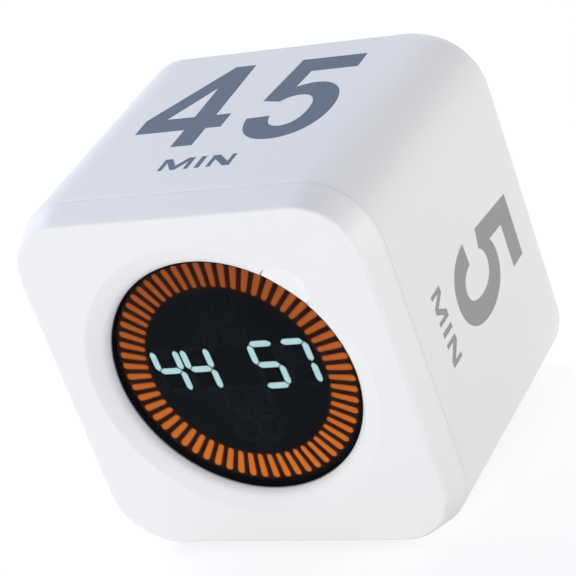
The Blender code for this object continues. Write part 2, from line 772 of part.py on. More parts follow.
def ring_diffuser(look):
    """Milky ring whose fingers fill the bar windows."""
    inner = BAR_INNER_R - BAR_MARGIN
    outer = BAR_OUTER_R + BAR_SKIRT
    rings = [
        on_face(circle(outer), DIFFUSER_START),
        on_face(circle(outer), DIFFUSER_END),
        on_face(circle(inner), DIFFUSER_END),
        on_face(circle(inner), DIFFUSER_START),
    ]
    ring = loft("ring_diffuser", rings, look, joined=True)
    fingers = [bar_outline(index, 0) for index in range(BAR_COUNT)]
    reach = (MASK_START + SEAM_GAP, DIFFUSER_START + SEAM_GAP)
    fuse(ring, joined_prisms("bar_finger_tool", fingers, *reach))


def digit_diffuser(look):
    """Milky disc whose fingers fill the stroke windows."""
    outline = circle(BAR_INNER_R - BAR_MARGIN - SEAM_GAP)
    disc = face_prism("digit_diffuser", outline, DIFFUSER_START, DIFFUSER_END, look)
    reach = (MASK_START + SEAM_GAP, DIFFUSER_START + SEAM_GAP)
    fuse(disc, joined_prisms("stroke_finger_tool", digit_outlines(0), *reach))


def display_board(look):
    half = TONGUE_INNER_HALF - DISPLAY_BOARD_GAP
    outline = rounded_square(half, TONGUE_INNER_R)
    board = face_prism("display_board", outline, DISPLAY_BOARD_START, DISPLAY_BOARD_END, look)
    holes = [circle(PILOT_R, SCREW_COUNT, centre) for centre in four_corners(DISPLAY_BOSS_AT)]
    through = (DISPLAY_BOARD_START - OVERRUN, DISPLAY_BOARD_END + OVERRUN)
    cut(board, joined_prisms("display_hole_tool", holes, *through))


def display_screws(look):
    head = DISPLAY_BOARD_END + SEAM_GAP
    tip = DISPLAY_BOARD_START - SEAM_GAP - SCREW_LENGTH + BOSS_FLOOR
    for number, (across, up) in enumerate(four_corners(DISPLAY_BOSS_AT), 1):
        profile = [
            (SCREW_R, tip),
            (SCREW_R, head),
            (SCREW_HEAD_R, head),
            (SCREW_HEAD_R, head + SCREW_HEAD_THICK / 2),
            (SCREW_HEAD_R / 2, head + SCREW_HEAD_THICK),
        ]
        turned("display_screw_%d" % number, profile, face_point(across, up, 0), look, SCREW_COUNT)


def rear_screws(look):
    top = CASE_DEPTH - SEAM_GAP
    for number, (across, up) in enumerate(four_corners(REAR_BOSS_AT), 1):
        profile = [
            (SCREW_R, top - REAR_SCREW_LENGTH),
            (SCREW_R, top - SCREW_HEAD_THICK),
            (SCREW_HEAD_R, top),
        ]
        turned("rear_screw_%d" % number, profile, face_point(across, up, 0), look, SCREW_COUNT)


def main_board(look):
    middle = (BOARD_START + BOARD_REAR) / 2
    outline = rounded_box(BOARD_WIDTH, BOARD_LENGTH, BOARD_CORNER_R, 4)
    low = BOARD_TOP - BOARD_THICK
    board = loft("main_board", [lying(outline, 0, middle, z) for z in (low, BOARD_TOP)], look)
    holes = bmesh.new()
    for across, depth in board_screw_places():
        heights = (low - OVERRUN, BOARD_TOP + OVERRUN)
        loft_into(holes, [lying(circle(PILOT_R, SCREW_COUNT), across, depth, z) for z in heights])
    cut(board, add_object("board_hole_tool", holes))


def board_screws(look):
    head = BOARD_TOP + SEAM_GAP
    tip = head - BOARD_THICK - SCREW_LENGTH
    for number, (across, depth) in enumerate(board_screw_places(), 1):
        profile = [
            (SCREW_R, tip),
            (SCREW_R, head),
            (SCREW_HEAD_R, head),
            (SCREW_HEAD_R, head + SCREW_HEAD_THICK / 2),
            (SCREW_HEAD_R / 2, head + SCREW_HEAD_THICK),
        ]
        upright_turned("board_screw_%d" % number, profile, across, depth, look)


def usb_socket(shell_look, tongue_look):
    """Flat steel mouth with a contact tongue inside."""
    end = CASE_DEPTH - SOCKET_SETBACK
    start = end - SOCKET_LENGTH
    outline = rounded_box(SOCKET_WIDTH, SOCKET_HEIGHT, SOCKET_HEIGHT / 2 - SEAM_GAP, 5)
    inner_width = SOCKET_WIDTH - 2 * SOCKET_WALL
    inner_height = SOCKET_HEIGHT - 2 * SOCKET_WALL
    hollow = rounded_box(inner_width, inner_height, inner_height / 2 - SEAM_GAP, 5)
    floor = start + SOCKET_FLOOR
    levels = [(outline, start), (outline, end), (hollow, end), (hollow, floor)]
    rings = [on_rear(shape, depth, 0, SOCKET_MID) for shape, depth in levels]
    loft("usb_c_shell", rings, shell_look)
    low = place(-TONGUE_WIDTH / 2, floor + SEAM_GAP, SOCKET_MID - TONGUE_THICK / 2)
    high = place(TONGUE_WIDTH / 2, end - TONGUE_SETBACK, SOCKET_MID + TONGUE_THICK / 2)
    box("usb_c_tongue", low, high, tongue_look)


def slide_switch(frame_look, knob_look):
    """Steel frame with a slot, and a ribbed knob that slides in it."""
    end = COVER_FACE - SWITCH_SETBACK
    start = end - SWITCH_LENGTH
    foot = BOARD_TOP + SEAM_GAP
    low = place(SWITCH_AT - SWITCH_WIDTH / 2, start, foot)
    high = place(SWITCH_AT + SWITCH_WIDTH / 2, end, foot + SWITCH_HEIGHT)
    frame = box("slide_switch_frame", low, high, frame_look)
    half = KNOB_WIDTH / 2 + KNOB_TRAVEL + FIT_GAP
    up = KNOB_HEIGHT / 2 + SEAM_GAP
    low = place(SWITCH_AT - half, start + SWITCH_WALL, SWITCH_MID - up)
    high = place(SWITCH_AT + half, end + OVERRUN, SWITCH_MID + up)
    cut(frame, box("switch_slot_tool", low, high))

    knob_start = start + SWITCH_WALL + SEAM_GAP
    knob_end = CASE_DEPTH - KNOB_SETBACK
    rib_step = KNOB_WIDTH / (2 * KNOB_RIB_COUNT - 1)
    outline = [(-KNOB_WIDTH / 2, knob_start)]
    for rib in range(KNOB_RIB_COUNT):
        left = -KNOB_WIDTH / 2 + 2 * rib * rib_step
        outline.append((left, knob_end))
        outline.append((left + rib_step, knob_end))
        if rib < KNOB_RIB_COUNT - 1:
            outline.append((left + rib_step, knob_end - KNOB_RIB))
            outline.append((left + 2 * rib_step, knob_end - KNOB_RIB))
    outline.append((KNOB_WIDTH / 2, knob_start))
    heights = (SWITCH_MID - KNOB_HEIGHT / 2, SWITCH_MID + KNOB_HEIGHT / 2)
    bm = bmesh.new()
    origin = place(SWITCH_AT, knob_end, SWITCH_MID)
    loft_into(bm, [[place(SWITCH_AT + x, y, z) - origin for x, y in outline] for z in heights])
    knob = add_object("slide_switch_knob", bm, knob_look, smooth=False)
    knob.location = origin


def board_block(name, across, depth, width, length, thick, look):
    """A block that sits on the main board."""
    foot = BOARD_TOP + SEAM_GAP
    low = place(across - width / 2, depth - length / 2, foot)
    high = place(across + width / 2, depth + length / 2, foot + thick)
    return box(name, low, high, look)


def chips(look):
    board_block("mcu_chip", 0, BOARD_START + BOARD_LENGTH / 2, CHIP_SIDE, CHIP_SIDE, CHIP_THICK, look)
    depth = BOARD_REAR - CHARGER_BACK
    board_block("charger_chip", CHARGER_OUT, depth, CHARGER_WIDTH, CHARGER_LENGTH, CHARGER_THICK, look)
    depth = BOARD_REAR - TILT_BACK
    board_block("tilt_sensor", BOARD_WIDTH / 2 - TILT_INSET, depth, TILT_SIDE, TILT_SIDE, TILT_THICK, look)


def connectors(look):
    """Two open-topped sockets for the cell's and the speaker's leads."""
    foot = BOARD_TOP + SEAM_GAP
    middle = PLUG_INSET - BOARD_WIDTH / 2
    for name, step in (("battery_connector", 0), ("speaker_connector", 1)):
        depth = BOARD_REAR - PLUG_BACK - step * PLUG_PITCH
        made = board_block(name, middle, depth, PLUG_WIDTH, PLUG_LENGTH, PLUG_HEIGHT, look)
        across = PLUG_WIDTH / 2 - PLUG_WALL
        along = PLUG_LENGTH / 2 - PLUG_WALL
        low = place(middle - across, depth - along, foot + PLUG_WALL)
        high = place(middle + across, depth + along, foot + PLUG_HEIGHT + OVERRUN)
        cut(made, box(name + "_tool", low, high))


def battery(cell_look, pad_look):
    """Flat cell held to the ceiling by a foam pad."""
    start, end = cell_depths()
    pad_top = SIDE - CASE_WALL - SEAM_GAP
    pad_low = pad_top - PAD_THICK
    low = place(-CELL_WIDTH / 2 + PAD_INSET, start + PAD_INSET, pad_low)
    high = place(CELL_WIDTH / 2 - PAD_INSET, end - PAD_INSET, pad_top)
    box("battery_pad", low, high, pad_look)
    cell_top = pad_low - SEAM_GAP
    section = rounded_box(CELL_WIDTH, CELL_THICK, CELL_EDGE_R, 5)
    height = cell_top - CELL_THICK / 2
    loft("battery_cell", [on_rear(section, depth, 0, height) for depth in (start, end)], cell_look)


def speaker(frame_look, cone_look, magnet_look):
    """Round speaker that fires through the sound holes."""
    centre = speaker_centre()
    face = COVER_FACE - SEAM_GAP
    back = face - SPEAKER_DEEP
    bore = MAGNET_R + FIT_GAP
    collar = bore + BASKET_WALL
    inner = SPEAKER_R - SPEAKER_RIM
    profile = [
        (inner, face),
        (SPEAKER_R, face),
        (SPEAKER_R, face - SPEAKER_SIDE),
        (collar, back),
        (collar, back - BASKET_COLLAR),
        (bore, back - BASKET_COLLAR),
        (bore, back + BASKET_WALL / 2),
        (inner, face - SPEAKER_SIDE + BASKET_WALL / 2),
    ]
    points = 2 * BOSS_COUNT
    turned("speaker_frame", profile, centre, frame_look, points, joined=True)
    edge = inner - SEAM_GAP
    rim = face - 2 * CONE_THICK
    profile = [
        (CONE_CAP_R, rim - CONE_DROP),
        (edge, rim),
        (edge, rim + CONE_THICK),
        (CONE_CAP_R, rim - CONE_DROP + CONE_THICK),
    ]
    turned("speaker_cone", profile, centre, cone_look, points)
    top = rim - CONE_DROP - FIT_GAP
    turned("speaker_magnet", [(MAGNET_R, top - MAGNET_THICK), (MAGNET_R, top)], centre, magnet_look, points)


def ribbon_ends():
    """Where the ribbon leaves the two sockets, as depth and height."""
    socket = DISPLAY_BOARD_END + SEAM_GAP + RIBBON_SOCKET_THICK / 2
    upper = (socket, RIBBON_RISE - SEAM_GAP)
    lower = (BOARD_START + FIT_GAP - SEAM_GAP, BOARD_TOP + SEAM_GAP + RIBBON_SOCKET_THICK / 2)
    return upper, lower


def ribbon(cable_look, socket_look):
    """Flat cable that curves from the display board down to the main board."""
    start, end = (Vector(point) for point in ribbon_ends())
    first_handle = Vector((start.x, (start.y + end.y) / 2))
    last_handle = Vector(((start.x + end.x) / 2, end.y))
    middle = []
    for step in range(RIBBON_STEP_COUNT + 1):
        t = step / RIBBON_STEP_COUNT
        near = start * (1 - t) ** 3 + first_handle * 3 * t * (1 - t) ** 2
        far = last_handle * 3 * t * t * (1 - t) + end * t ** 3
        middle.append(near + far)
    sides = ([], [])
    for index, point in enumerate(middle):
        before = middle[max(index - 1, 0)]
        after = middle[min(index + 1, RIBBON_STEP_COUNT)]
        along = (after - before).normalized()
        across = Vector((-along.y, along.x)) * RIBBON_THICK / 2
        sides[0].append(point + across)
        sides[1].append(point - across)
    outline = sides[0] + sides[1][::-1]
    rings = [[place(side * RIBBON_WIDTH / 2, p.x, p.y) for p in outline] for side in (-1, 1)]
    loft("ribbon_cable", rings, cable_look)

    half = RIBBON_SOCKET_WIDTH / 2
    start = DISPLAY_BOARD_END + SEAM_GAP
    low = place(-half, start, RIBBON_RISE)
    high = place(half, start + RIBBON_SOCKET_THICK, RIBBON_RISE + RIBBON_SOCKET_LONG)
    box("ribbon_socket_front", low, high, socket_look)
    foot = BOARD_TOP + SEAM_GAP
    start = BOARD_START + FIT_GAP
    low = place(-half, start, foot)
    high = place(half, start + RIBBON_SOCKET_LONG, foot + RIBBON_SOCKET_THICK)
    box("ribbon_socket_rear", low, high, socket_look)


def build():
    for old in list(bpy.data.objects):
        bpy.data.objects.remove(old, do_unlink=True)

    white = material("satin_white", (0.86, 0.87, 0.89), 0.42)
    button_white = material("button_white", (0.87, 0.88, 0.89), 0.38)
    cover_white = material("cover_white", (0.84, 0.85, 0.87), 0.45)
    smoke = material("smoked_lens", (0.02, 0.021, 0.026), 0.06)
    black = material("mask_black", (0.012, 0.012, 0.014), 0.55)
    amber = material("amber_diffuser", (0.75, 0.26, 0.06), 0.5)
    pale = material("pale_diffuser", (0.62, 0.80, 0.81), 0.5)
    green = material("board_green", (0.03, 0.19, 0.09), 0.45)
    steel = material("bright_steel", (0.62, 0.62, 0.63), 0.28, 1.0)
    dark = material("black_plastic", (0.02, 0.02, 0.022), 0.5)
    ivory = material("ivory_nylon", (0.78, 0.76, 0.68), 0.55)
    foil = material("cell_foil", (0.60, 0.62, 0.65), 0.35, 0.8)
    foam = material("foam_grey", (0.22, 0.22, 0.23), 0.9)
    paper = material("cone_paper", (0.05, 0.05, 0.05), 0.85)
    film = material("ribbon_film", (0.80, 0.80, 0.78), 0.4)

    housing_sleeve(white)
    front_bezel(white)
    rear_cover(cover_white)
    push_button(button_white)
    tact_switch(dark, ivory)
    display_lens(smoke)
    window_mask(black)
    ring_diffuser(amber)
    digit_diffuser(pale)
    display_board(green)
    display_screws(steel)
    main_board(green)
    board_screws(steel)
    usb_socket(steel, dark)
    slide_switch(steel, dark)
    chips(dark)
    connectors(ivory)
    battery(foil, foam)
    speaker(steel, paper, steel)
    ribbon(film, ivory)
    rear_screws(steel)


build()
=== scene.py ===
# %% [markdown]
# # Dressing a cube timer
#
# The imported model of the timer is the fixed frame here.  It says where every
# part sits and how it moves.  This lesson gives the frame its looks: finely
# rounded white mouldings, printed minute faces, a smoked window with a ring of
# orange light bars behind it, and honest materials for the parts inside.
#
# Everything is in metres.  Up is +Z, the display looks along -Y, and the
# middle of the bottom face is the origin.

# %% Load the frame
import math

import bmesh
import bpy
import numpy as np
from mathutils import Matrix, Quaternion


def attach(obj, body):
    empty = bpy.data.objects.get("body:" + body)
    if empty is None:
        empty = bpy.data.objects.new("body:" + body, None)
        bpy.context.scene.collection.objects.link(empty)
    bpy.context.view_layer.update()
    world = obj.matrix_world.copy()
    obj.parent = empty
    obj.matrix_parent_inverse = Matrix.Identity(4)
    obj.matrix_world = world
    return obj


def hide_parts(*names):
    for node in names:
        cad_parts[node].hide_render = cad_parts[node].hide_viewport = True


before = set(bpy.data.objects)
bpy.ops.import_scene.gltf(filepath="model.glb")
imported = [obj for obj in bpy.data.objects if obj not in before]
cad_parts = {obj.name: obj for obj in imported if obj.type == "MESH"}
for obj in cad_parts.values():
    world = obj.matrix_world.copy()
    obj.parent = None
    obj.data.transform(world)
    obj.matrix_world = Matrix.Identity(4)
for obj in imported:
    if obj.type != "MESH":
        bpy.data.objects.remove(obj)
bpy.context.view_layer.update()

# %% [markdown]
# ## Sizes
#
# A maker would read these from the drawing.  They are the same numbers as in
# the solid model, because every skin here has to lie on its solid.  A skin is
# drawn a hair inside the solid, so that the printed ink, which has a
# thickness of its own, still lies within the model's size.

# %% Sizes from the drawing
MM = 0.001
SIDE = 60.0 * MM
HALF = SIDE / 2
CASE_DEPTH = 49.0 * MM
FRONT = -CASE_DEPTH / 2
SKIN_INSET = 0.015 * MM
CASE_CORNER = 10.2 * MM
WALL = 2.2 * MM
REBATE = 1.5 * MM
BAND_DEPTH = 4.7 * MM
BAND_TAPER = 1.35 * MM
FACE_CORNER = 9.2 * MM
FACE_EDGE = 0.6 * MM
SEAM = 0.15 * MM
PART_LINE = 0.03 * MM
OPENING = 20.1 * MM
DISH_OUT = 23.7 * MM
DISH_DEEP = 2.0 * MM
PLATE_REAR = 2.5 * MM
RIM_EDGE = 0.5 * MM
BUTTON_ANGLE = math.radians(47.2)
BUTTON_AT = 20.7 * MM
BUTTON_R = 3.97 * MM
BUTTON_IN = 20.14 * MM
POCKET_R = 4.02 * MM
POCKET_EDGE = 0.2 * MM
LENS_R = 19.95 * MM
LENS_FACE = 2.1 * MM
LENS_THICK = 1.35 * MM
MASK_FACE = 3.6 * MM
MASK_REAR = 4.8 * MM
MASK_R = 21.3 * MM
LIP_R = 21.8 * MM
LAMP_FACE = 3.62 * MM
DIFFUSER_FACE = 4.95 * MM
DIFFUSER_REAR = 5.55 * MM
COVER_FACE = 47.0 * MM
LEDGE = 46.85 * MM
print("cube of", SIDE / MM, "mm, depth", CASE_DEPTH / MM, "mm")

# %% [markdown]
# ## Camera
#
# The camera stands where the photographer's did.  It was found by matching
# the cube's straight edges, the circle of the window and the sixty bars with
# their places in the picture.  The picture is strongly rolled: the cube seems
# to balance on a corner, but it stands flat and the camera leans.

# %% Camera
camera_data = bpy.data.cameras.new("camera")
camera = bpy.data.objects.new("camera", camera_data)
bpy.context.scene.collection.objects.link(camera)
camera.rotation_mode = "QUATERNION"
camera.location = (0.193434, -0.293323, 0.209021)
camera.rotation_quaternion = Quaternion((0.846326, 0.466700, 0.237154, 0.098390))
camera_data.sensor_width = 36.0
camera_data.lens = 161.6
camera_data.shift_x = 0.00327
camera_data.shift_y = 0.00343
camera_data.clip_start = 0.01
bpy.context.scene.camera = camera
print("camera", round(camera.location.length, 3), "m from the origin")

# %% [markdown]
# ## Meshes from arrays
#
# Each skin is a stack of rings with the same number of points.  Two rings
# next to each other are joined by four-sided faces, and the last ring either
# meets the first, as in a tube with a wall, or both ends are closed by a fan
# round their middle.  Whole rings are worked out at once as arrays, which is
# quick and keeps the formula in sight.

# %% Rings to a closed shell
def outwards(points, faces):
    """Turn a closed shell's faces round if its signed volume, the sum of
    a . (b x c) / 6 over its triangles, is negative."""
    first = points[faces[:, 0]]
    total = 0.0
    for k in range(1, faces.shape[1] - 1):
        total += (first * np.cross(points[faces[:, k]], points[faces[:, k + 1]])).sum()
    return faces[:, ::-1] if total < 0 else faces


def shell(rings, joined=False):
    """Closed shell over rings of shape (rings, points, 3).  Face (i, j) joins
    points j and j + 1 of ring i with those of ring i + 1."""
    rings = np.asarray(rings, float)
    count, around = rings.shape[:2]
    i = np.arange(count if joined else count - 1)[:, None]
    j = np.arange(around)[None, :]
    below, above = i * around, ((i + 1) % count) * around
    after = (j + 1) % around
    quads = np.stack([below + j, below + after, above + after, above + j], -1).reshape(-1, 4)
    points = rings.reshape(-1, 3)
    parts = [quads]
    if not joined:
        ends = np.stack([rings[0].mean(0), rings[-1].mean(0)])
        low, high = len(points), len(points) + 1
        points = np.concatenate([points, ends])
        k = np.arange(around)
        step = (k + 1) % around
        last = (count - 1) * around
        parts.append(np.stack([step, k, np.full(around, low)], -1))
        parts.append(np.stack([last + k, last + step, np.full(around, high)], -1))
    triangles = [np.stack([q[:, 0], q[:, 1], q[:, 2]], -1) for q in parts]
    triangles += [np.stack([q[:, 0], q[:, 2], q[:, 3]], -1) for q in parts if q.shape[1] == 4]
    flat = np.concatenate(triangles)
    turned = outwards(points, flat) is not flat
    if turned:
        parts = [q[:, ::-1] for q in parts]
    return points, parts


demo_points, demo_parts = shell(np.random.default_rng(1).random((3, 5, 3)))
print("a shell of 3 rings of 5 has", len(demo_points), "points")


# %% Shells to one named piece
def piece(name, shells, body, look=None, sharp=32.0, values=None):
    """One object from closed shells; it rides on a body of the frame.
    values gives named numbers per point, for the materials."""
    points, faces, start = [], [], 0
    for shell_points, parts in shells:
        points.append(shell_points)
        for part in parts:
            faces.extend((part + start).tolist())
        start += len(shell_points)
    points = np.concatenate(points)
    mesh = bpy.data.meshes.new(name)
    mesh.from_pydata(points.tolist(), [], faces)
    mesh.polygons.foreach_set("use_smooth", np.ones(len(faces), bool))
    for label, numbers in (values or {}).items():
        layer = mesh.attributes.new(label, "FLOAT", "POINT")
        layer.data.foreach_set("value", np.asarray(numbers, np.float32))
    mesh.update()
    mesh.set_sharp_from_angle(angle=math.radians(sharp))
    made = bpy.data.objects.new(name, mesh)
    bpy.context.scene.collection.objects.link(made)
    if look is not None:
        mesh.materials.append(look)
    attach(made, body)
    print(name, "faces:", len(faces))
    return made


# %% [markdown]
# ## Outlines
#
# Three outlines carry the whole outside: the rounded square of the case, the
# circle of the window, and the edge of the window with the button's notch in
# it.  Each is the distance from the middle as a function of the angle, so
# that one set of angles serves them all and no face is twisted.

# %% Outlines as distance over angle
def square_ray(angle, half, corner):
    """Distance from the middle to a rounded square along each angle.
    A ray meets a straight side at half / max(|cos|, |sin|), or the corner's
    circle about (k, k), k = half - corner, at
    k (c + s) + sqrt(corner^2 - k^2 (c - s)^2)."""
    c, s = np.abs(np.cos(angle)), np.abs(np.sin(angle))
    straight = half / np.maximum(c, s)
    k = half - corner
    inside = np.maximum(corner ** 2 - (k * (c - s)) ** 2, 0.0)
    rounded = k * (c + s) + np.sqrt(inside)
    at_corner = np.minimum(c, s) * straight > k
    return np.where(at_corner, rounded, straight)


def pocket_ray(angle, opening, pocket):
    """Distance to the window's edge, bulging out round the button's pocket:
    the far side of a circle about the button, B cos t + sqrt(p^2 - (B sin t)^2),
    where the angle t from the button is small enough to meet it."""
    turn = np.abs((angle - BUTTON_ANGLE + math.pi) % (2 * math.pi) - math.pi)
    inside = pocket ** 2 - (BUTTON_AT * np.sin(turn)) ** 2
    far = BUTTON_AT * np.cos(turn) + np.sqrt(np.maximum(inside, 0.0))
    meets = (inside >= 0) & (turn < 1.0)
    return np.where(meets, np.maximum(far, opening), opening)


def ring_at(angle, distance, depth):
    """Points of the row frame at a distance from the display's middle and a
    depth behind its face: (r cos, front + depth, half + r sin)."""
    distance = distance * np.ones_like(angle)
    depth = depth * np.ones_like(angle)
    return np.stack([distance * np.cos(angle), FRONT + depth, HALF + distance * np.sin(angle)], -1)


def angle_set():
    """Angles round the face: even steps, and close ones round the notch."""
    even = np.radians(np.arange(0, 360, 0.75))
    tangent = math.asin(POCKET_R / BUTTON_AT)
    away = np.abs((even - BUTTON_ANGLE + math.pi) % (2 * math.pi) - math.pi)
    even = even[away > tangent * 1.04]
    t = np.sin(np.linspace(-math.pi / 2, math.pi / 2, 61)) * tangent
    close = BUTTON_ANGLE + np.concatenate([[-tangent * 1.02, -tangent * 1.002], t, [tangent * 1.002, tangent * 1.02]])
    return np.sort(np.concatenate([even, close]))


ANGLES = angle_set()
print(len(ANGLES), "angles; corner reach", round(square_ray(np.array([math.pi / 4]), HALF, CASE_CORNER)[0] / MM, 2), "mm")

# %% [markdown]
# ## Shader groups
#
# Effects that several finishes share are node groups.  *Moulded surface*
# gives the soft unevenness of injection moulded plastic: a broad, barely
# seen drift of tone, a fine spark-eroded grain, and a few specks of dust.
# *Worn edge* turns a number stored on the mesh, high along the edges, into a
# broken mask, because edges that are touched become smoother.

# %% Helpers for nodes
def socket(group, name, way, kind, value=None):
    made = group.interface.new_socket(name=name, in_out=way, socket_type=kind)
    if value is not None:
        made.default_value = value
    return made


def math_node(tree, operation, first, second=None, third=None, clamp=False):
    """A Math node with sockets or numbers as its inputs; gives its output."""
    node = tree.nodes.new("ShaderNodeMath")
    node.operation = operation
    node.use_clamp = clamp
    for index, value in enumerate((first, second, third)):
        if value is None:
            continue
        if isinstance(value, (int, float)):
            node.inputs[index].default_value = value
        else:
            tree.links.new(value, node.inputs[index])
    return node.outputs[0]


def mix_colour(tree, factor, first, second, mode="MIX"):
    """A colour Mix node; colours are sockets or tuples."""
    node = tree.nodes.new("ShaderNodeMix")
    node.data_type = "RGBA"
    node.blend_type = mode
    for index, value in ((0, factor), (6, first), (7, second)):
        if isinstance(value, (int, float)):
            node.inputs[index].default_value = value
        elif isinstance(value, tuple):
            node.inputs[index].default_value = (*value, 1.0)
        else:
            tree.links.new(value, node.inputs[index])
    return node.outputs[2]


def noise(tree, vector, scale, detail=2.0, roughness=0.5):
    node = tree.nodes.new("ShaderNodeTexNoise")
    node.inputs["Scale"].default_value = scale
    node.inputs["Detail"].default_value = detail
    node.inputs["Roughness"].default_value = roughness
    tree.links.new(vector, node.inputs["Vector"])
    return node.outputs["Fac"]


print("node helpers ready")


# %% Group: moulded surface
def moulded_surface_group():
    group = bpy.data.node_groups.new("moulded_surface", "ShaderNodeTree")
    socket(group, "Vector", "INPUT", "NodeSocketVector")
    socket(group, "Colour", "INPUT", "NodeSocketColor", (0.8, 0.8, 0.8, 1.0))
    socket(group, "Drift", "INPUT", "NodeSocketFloat", 0.02)
    socket(group, "Roughness", "INPUT", "NodeSocketFloat", 0.4)
    socket(group, "Specks", "INPUT", "NodeSocketFloat", 0.5)
    socket(group, "Colour", "OUTPUT", "NodeSocketColor")
    socket(group, "Roughness", "OUTPUT", "NodeSocketFloat")
    socket(group, "Height", "OUTPUT", "NodeSocketFloat")
    source = group.nodes.new("NodeGroupInput")
    sink = group.nodes.new("NodeGroupOutput")
    where = source.outputs["Vector"]
    broad = noise(group, where, 45.0, 3.0)
    grain = noise(group, where, 2600.0, 2.0, 0.6)
    swing = math_node(group, "SUBTRACT", broad, 0.5)
    tone = math_node(group, "MULTIPLY_ADD", swing, source.outputs["Drift"], 1.0)
    shade = group.nodes.new("ShaderNodeVectorMath")
    shade.operation = "SCALE"
    group.links.new(source.outputs["Colour"], shade.inputs[0])
    group.links.new(tone, shade.inputs["Scale"])
    cells = group.nodes.new("ShaderNodeTexVoronoi")
    cells.inputs["Scale"].default_value = 95.0
    group.links.new(where, cells.inputs["Vector"])
    near = math_node(group, "LESS_THAN", cells.outputs["Distance"], 0.022)
    chosen = group.nodes.new("ShaderNodeSeparateColor")
    group.links.new(cells.outputs["Color"], chosen.inputs[0])
    some = math_node(group, "GREATER_THAN", chosen.outputs[0], 0.78)
    speck = math_node(group, "MULTIPLY", math_node(group, "MULTIPLY", near, some), source.outputs["Specks"])
    dusty = mix_colour(group, speck, shade.outputs[0], (0.30, 0.30, 0.31))
    group.links.new(dusty, sink.inputs["Colour"])
    rough = math_node(group, "MULTIPLY_ADD", math_node(group, "SUBTRACT", grain, 0.5), 0.12, source.outputs["Roughness"])
    rough = math_node(group, "MULTIPLY_ADD", swing, 0.10, rough)
    group.links.new(math_node(group, "MULTIPLY_ADD", speck, 0.3, rough), sink.inputs["Roughness"])
    group.links.new(math_node(group, "MULTIPLY_ADD", broad, 0.25, grain), sink.inputs["Height"])
    return group


MOULDED = moulded_surface_group()
print("group", MOULDED.name, "has", len(MOULDED.nodes), "nodes")


# %% Group: worn edge
def worn_edge_group():
    group = bpy.data.node_groups.new("worn_edge", "ShaderNodeTree")
    socket(group, "Vector", "INPUT", "NodeSocketVector")
    socket(group, "Edge", "INPUT", "NodeSocketFloat", 0.0)
    socket(group, "Mask", "OUTPUT", "NodeSocketFloat")
    source = group.nodes.new("NodeGroupInput")
    sink = group.nodes.new("NodeGroupOutput")
    broken = noise(group, source.outputs["Vector"], 420.0, 3.0, 0.65)
    spread = math_node(group, "MULTIPLY_ADD", broken, 1.6, -0.35, clamp=True)
    mask = math_node(group, "MULTIPLY", source.outputs["Edge"], spread, clamp=True)
    group.links.new(mask, sink.inputs["Mask"])
    return group


WORN = worn_edge_group()
print("group", WORN.name, "has", len(WORN.nodes), "nodes")

# %% [markdown]
# ## Moulded plastics
#
# One function makes every moulded plastic from its colour, its gloss and how
# fine its grain is.  The Principled shader itself stays in each material, as
# do the numbers that are the same all over.

# %% A moulded plastic
def new_look(name):
    look = bpy.data.materials.new(name)
    look.use_nodes = True
    tree = look.node_tree
    coords = tree.nodes.new("ShaderNodeTexCoord")
    return look, tree, tree.nodes["Principled BSDF"], coords.outputs["Object"]


def group_node(tree, group, vector):
    node = tree.nodes.new("ShaderNodeGroup")
    node.node_tree = group
    tree.links.new(vector, node.inputs["Vector"])
    return node


def bump(tree, shader, height, strength, distance):
    node = tree.nodes.new("ShaderNodeBump")
    node.inputs["Strength"].default_value = strength
    node.inputs["Distance"].default_value = distance
    tree.links.new(height, node.inputs["Height"])
    tree.links.new(node.outputs["Normal"], shader.inputs["Normal"])


def moulded(name, colour, roughness, drift=0.03, specks=0.0, grain=0.004, specular=0.5, wear=0.0):
    """Moulded plastic: group colour, roughness and grain into one shader."""
    look, tree, shader, where = new_look(name)
    surface = group_node(tree, MOULDED, where)
    surface.inputs["Colour"].default_value = (*colour, 1.0)
    surface.inputs["Drift"].default_value = drift
    surface.inputs["Roughness"].default_value = roughness
    surface.inputs["Specks"].default_value = specks
    final_colour = surface.outputs["Colour"]
    final_rough = surface.outputs["Roughness"]
    if wear:
        edge = tree.nodes.new("ShaderNodeAttribute")
        edge.attribute_name = "edge"
        worn = group_node(tree, WORN, where)
        tree.links.new(edge.outputs["Fac"], worn.inputs["Edge"])
        rubbed = math_node(tree, "MULTIPLY", worn.outputs["Mask"], -wear)
        final_rough = math_node(tree, "ADD", final_rough, rubbed, clamp=True)
        tint = math_node(tree, "MULTIPLY", worn.outputs["Mask"], 0.25)
        final_colour = mix_colour(tree, tint, final_colour, (0.93, 0.93, 0.93))
    tree.links.new(final_colour, shader.inputs["Base Color"])
    tree.links.new(final_rough, shader.inputs["Roughness"])
    shader.inputs["Specular IOR Level"].default_value = specular
    bump(tree, shader, surface.outputs["Height"], 0.35, grain * MM)
    return look


case_white = moulded("satin_case_white", (0.83, 0.835, 0.85), 0.42, 0.02, 0.2, 0.006, 0.4, 0.12)
bezel_white = moulded("satin_bezel_white", (0.84, 0.845, 0.86), 0.50, 0.02, 0.0, 0.006, 0.3, 0.06)
back_white = moulded("satin_cover_white", (0.81, 0.815, 0.83), 0.46, 0.02, 0.3, 0.01, 0.4, 0.10)
key_white = moulded("smooth_button_white", (0.85, 0.855, 0.865), 0.34, 0.015, 0.0, 0.003, 0.4, 0.12)
black_plastic = moulded("black_moulding", (0.022, 0.022, 0.025), 0.48, 0.3, 0.0, 0.01, 0.5)
nylon = moulded("ivory_nylon", (0.74, 0.71, 0.62), 0.5, 0.06, 0.0, 0.006, 0.5)
print("plastics:", case_white.name, bezel_white.name, back_white.name, key_white.name)

